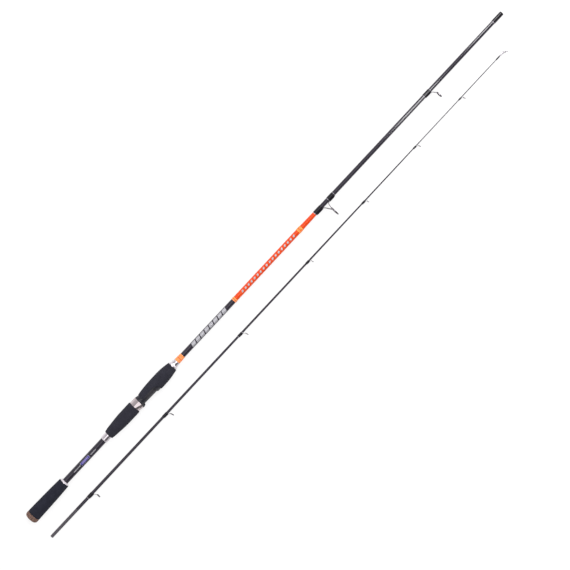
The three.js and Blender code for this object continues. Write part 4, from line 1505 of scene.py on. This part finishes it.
def label_panel():
    """A violet panel with a silver border and a row of lilac bars."""
    start, end = 135.5, 157.5
    for name, inset, width, lift, ink in (
        ("label_border", 0.0, 5.8, 0.01, silver_ink),
        ("label_field", 0.5, 5.0, 0.05, violet_ink),
    ):
        length, radius = end - start - 2 * inset, butt_radius(start) + lift
        one = mark(width, length, radius, aside=0.5, thick=0.06, steps=14)
        one.name = name
        one.data.transform(Matrix.Translation(Vector(((start + end) / 2 * MM, 0, 0))))
        dress(one, ink, BUTT, "carbon_blank")
    marks("label_bars", start + 4.4, end - 3.4, 2.2, (2.6, 1.3, 0.3, 0.5), lilac_ink, lift=0.09)


label_panel()


def trim_ring(node, side, on):
    """A few turns of silver thread on the blank, just past one end of a wrap."""
    edge = ends(node)[side]
    start, end = (edge - 1.05, edge - 0.1) if side == 0 else (edge + 0.1, edge + 1.05)
    skin = 0.15
    name = f"{node}_trim_{side}"
    bed = turned(name + "_bed", bed_line(start, end, on.radius, skin), 48, on.axis)
    r = on.radius(start) + skin + FIT
    piece = wind(name, bed, start + 0.15, end - 0.15, r, on.axis, silver_thread, TRIM_PITCH)
    dress(piece, silver_thread, on.body, "varnished_thread")


TRIMS = (
    (ON_BUTT, "stripper_rear_wrap", 0),
    (ON_BUTT, "stripper_front_wrap", 0),
    (ON_BUTT, "stripper_front_wrap", 1),
    (ON_BUTT, "guide_2_wrap", 0),
    (ON_BUTT, "guide_2_wrap", 1),
    (ON_BUTT, "ferrule_wrap", 0),
    (ON_TIP, "guide_3_wrap", 0),
    (ON_TIP, "guide_5_wrap", 0),
    (ON_TIP, "guide_5_wrap", 1),
)
for on, node, side in TRIMS:
    trim_ring(node, side, on)


# ---------------------------------------------------------------- tape under the seat

for node in ("rear_arbor", "front_arbor"):
    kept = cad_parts[node].data
    kept.materials.clear()
    kept.materials.append(tape)


# ---------------------------------------------------------------- floor, light and camera


FLOOR_REACH = 9.0
FLOOR_SHADE = 0.86
# the floor's own white light, and how much of it the camera sees and mirror-like surfaces show
FLOOR_GLOW, GLOW_SEEN, GLOW_MIRRORED = 1.12, 0.7, 0.3


def floor():
    """A pale floor just under the rods. It shows white, and keeps their shadow."""
    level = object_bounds()[0].z / MM - 0.02
    mesh = bpy.data.meshes.new("studio_floor")
    edges = [(-1, -1), (1, -1), (1, 1), (-1, 1)]
    mesh.from_pydata([(x * FLOOR_REACH, y * FLOOR_REACH, level * MM) for x, y in edges], [], [(0, 1, 2, 3)])
    plane = bpy.data.objects.new("studio_floor", mesh)
    scene.collection.objects.link(plane)
    material = bpy.data.materials.new("pale_studio_floor")
    material.use_nodes = True
    s = Shading(material.node_tree)
    shader = s.tree.nodes["Principled BSDF"]
    shader.inputs["Base Color"].default_value = (FLOOR_SHADE, FLOOR_SHADE, FLOOR_SHADE, 1)
    shader.inputs["Roughness"].default_value = 0.9
    glow = s.node("Emission")
    glow.inputs["Color"].default_value = (1, 1, 1, 1)
    glow.inputs["Strength"].default_value = FLOOR_GLOW
    ray = s.node("LightPath").outputs
    mirrored = s.math("MULTIPLY", ray["Is Glossy Ray"], GLOW_MIRRORED)
    mix = s.node("MixShader")
    s.link(s.math("MULTIPLY_ADD", ray["Is Camera Ray"], GLOW_SEEN, mirrored), mix.inputs[0])
    s.link(shader.outputs[0], mix.inputs[1])
    s.link(glow.outputs[0], mix.inputs[2])
    s.link(mix.outputs[0], s.tree.nodes["Material Output"].inputs["Surface"])
    mesh.materials.append(material)
    plane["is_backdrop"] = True


# How bright the room is round the rods: degrees from overhead towards -Y, and the brightness there.
ROOM = [
    (-180, 0.85), (-85, 0.8), (-70, 0.68), (-52, 0.58), (-36, 0.52), (-27, 0.52), (-21, 0.54), (6, 0.54),
    (14, 0.4), (24, 0.2), (40, 0.07), (54, 0.12), (68, 0.27), (80, 0.5), (92, 0.68), (180, 0.85),
]
END_PANELS = 1.3
PANELS_FROM, PANELS_FULL = 0.42, 0.62  # where the end panels begin and are full, as a direction's X


def tinted(shade):
    """A very slightly violet grey."""
    return (shade * 1.01, shade * 0.985, shade, 1)


def studio_world():
    """Soft light from overhead and from both ends, with a darker gap on the guides' side."""
    world = bpy.data.worlds.new("studio_light")
    scene.world = world
    world.use_nodes = True
    s = Shading(world.node_tree)
    background = s.tree.nodes["Background"]
    split = s.node("SeparateXYZ")
    s.link(s.node("TexCoord").outputs["Generated"], split.inputs[0])
    around = s.math("ARCTAN2", s.math("MULTIPLY", split.outputs["Y"], -1.0), split.outputs["Z"])
    place = s.math("ADD", s.math("DIVIDE", around, TURN), 0.5)
    room = s.ramp(place, *((degrees / 360 + 0.5, tinted(shade)) for degrees, shade in ROOM))
    endways = s.node("MapRange", interpolation_type="SMOOTHSTEP")
    endways.inputs["From Min"].default_value = PANELS_FROM
    endways.inputs["From Max"].default_value = PANELS_FULL
    s.link(s.math("ABSOLUTE", split.outputs["X"]), endways.inputs["Value"])
    lit = s.mix(endways.outputs["Result"], room, tinted(END_PANELS))
    shown_white = s.mix(s.node("LightPath").outputs["Is Camera Ray"], lit, (1, 1, 1, 1))
    s.link(shown_white, background.inputs["Color"])
    background.inputs["Strength"].default_value = 1.0


def softbox(name, place, aim, size, power):
    """A rectangular area lamp."""
    lamp = bpy.data.lights.new(name, "AREA")
    lamp.shape, lamp.size, lamp.size_y, lamp.energy = "RECTANGLE", size[0], size[1], power
    made = bpy.data.objects.new(name, lamp)
    made.location = place
    made.rotation_euler = (Vector(aim) - Vector(place)).to_track_quat("-Z", "Y").to_euler()
    scene.collection.objects.link(made)


CAMERA_PLACE = (0.6262, -0.0488, 2.5)
CAMERA_ROLL = -47.02  # degrees
FOCAL_LENGTH, SENSOR = 86.91, 36.0  # millimetres


def camera():
    """A camera straight above, rolled so that the rods run up to the right."""
    lens = bpy.data.cameras.new("overhead_camera")
    lens.type, lens.lens, lens.sensor_width = "PERSP", FOCAL_LENGTH, SENSOR
    made = bpy.data.objects.new("overhead_camera", lens)
    made.location = CAMERA_PLACE
    made.rotation_euler = (0, 0, math.radians(CAMERA_ROLL))
    scene.collection.objects.link(made)
    scene.camera = made


floor()
studio_world()
softbox("overhead_softbox", (0.63, 0.3, 2.3), (0.63, 0.3, 0), (2.2, 1.25), 8.9)
# two strip lights across the rods, past the guides' end: one overhead, one to the far side
softbox("inner_strip_light", (1.42, -0.1, 2.28), (1.42, -0.1, 0), (0.2, 3.0), 21)
softbox("outer_strip_light", (1.8, 1.13, 2.12), (1.8, 0, 0), (0.17, 2.0), 14)
camera()
scene.view_settings.view_transform = "Standard"
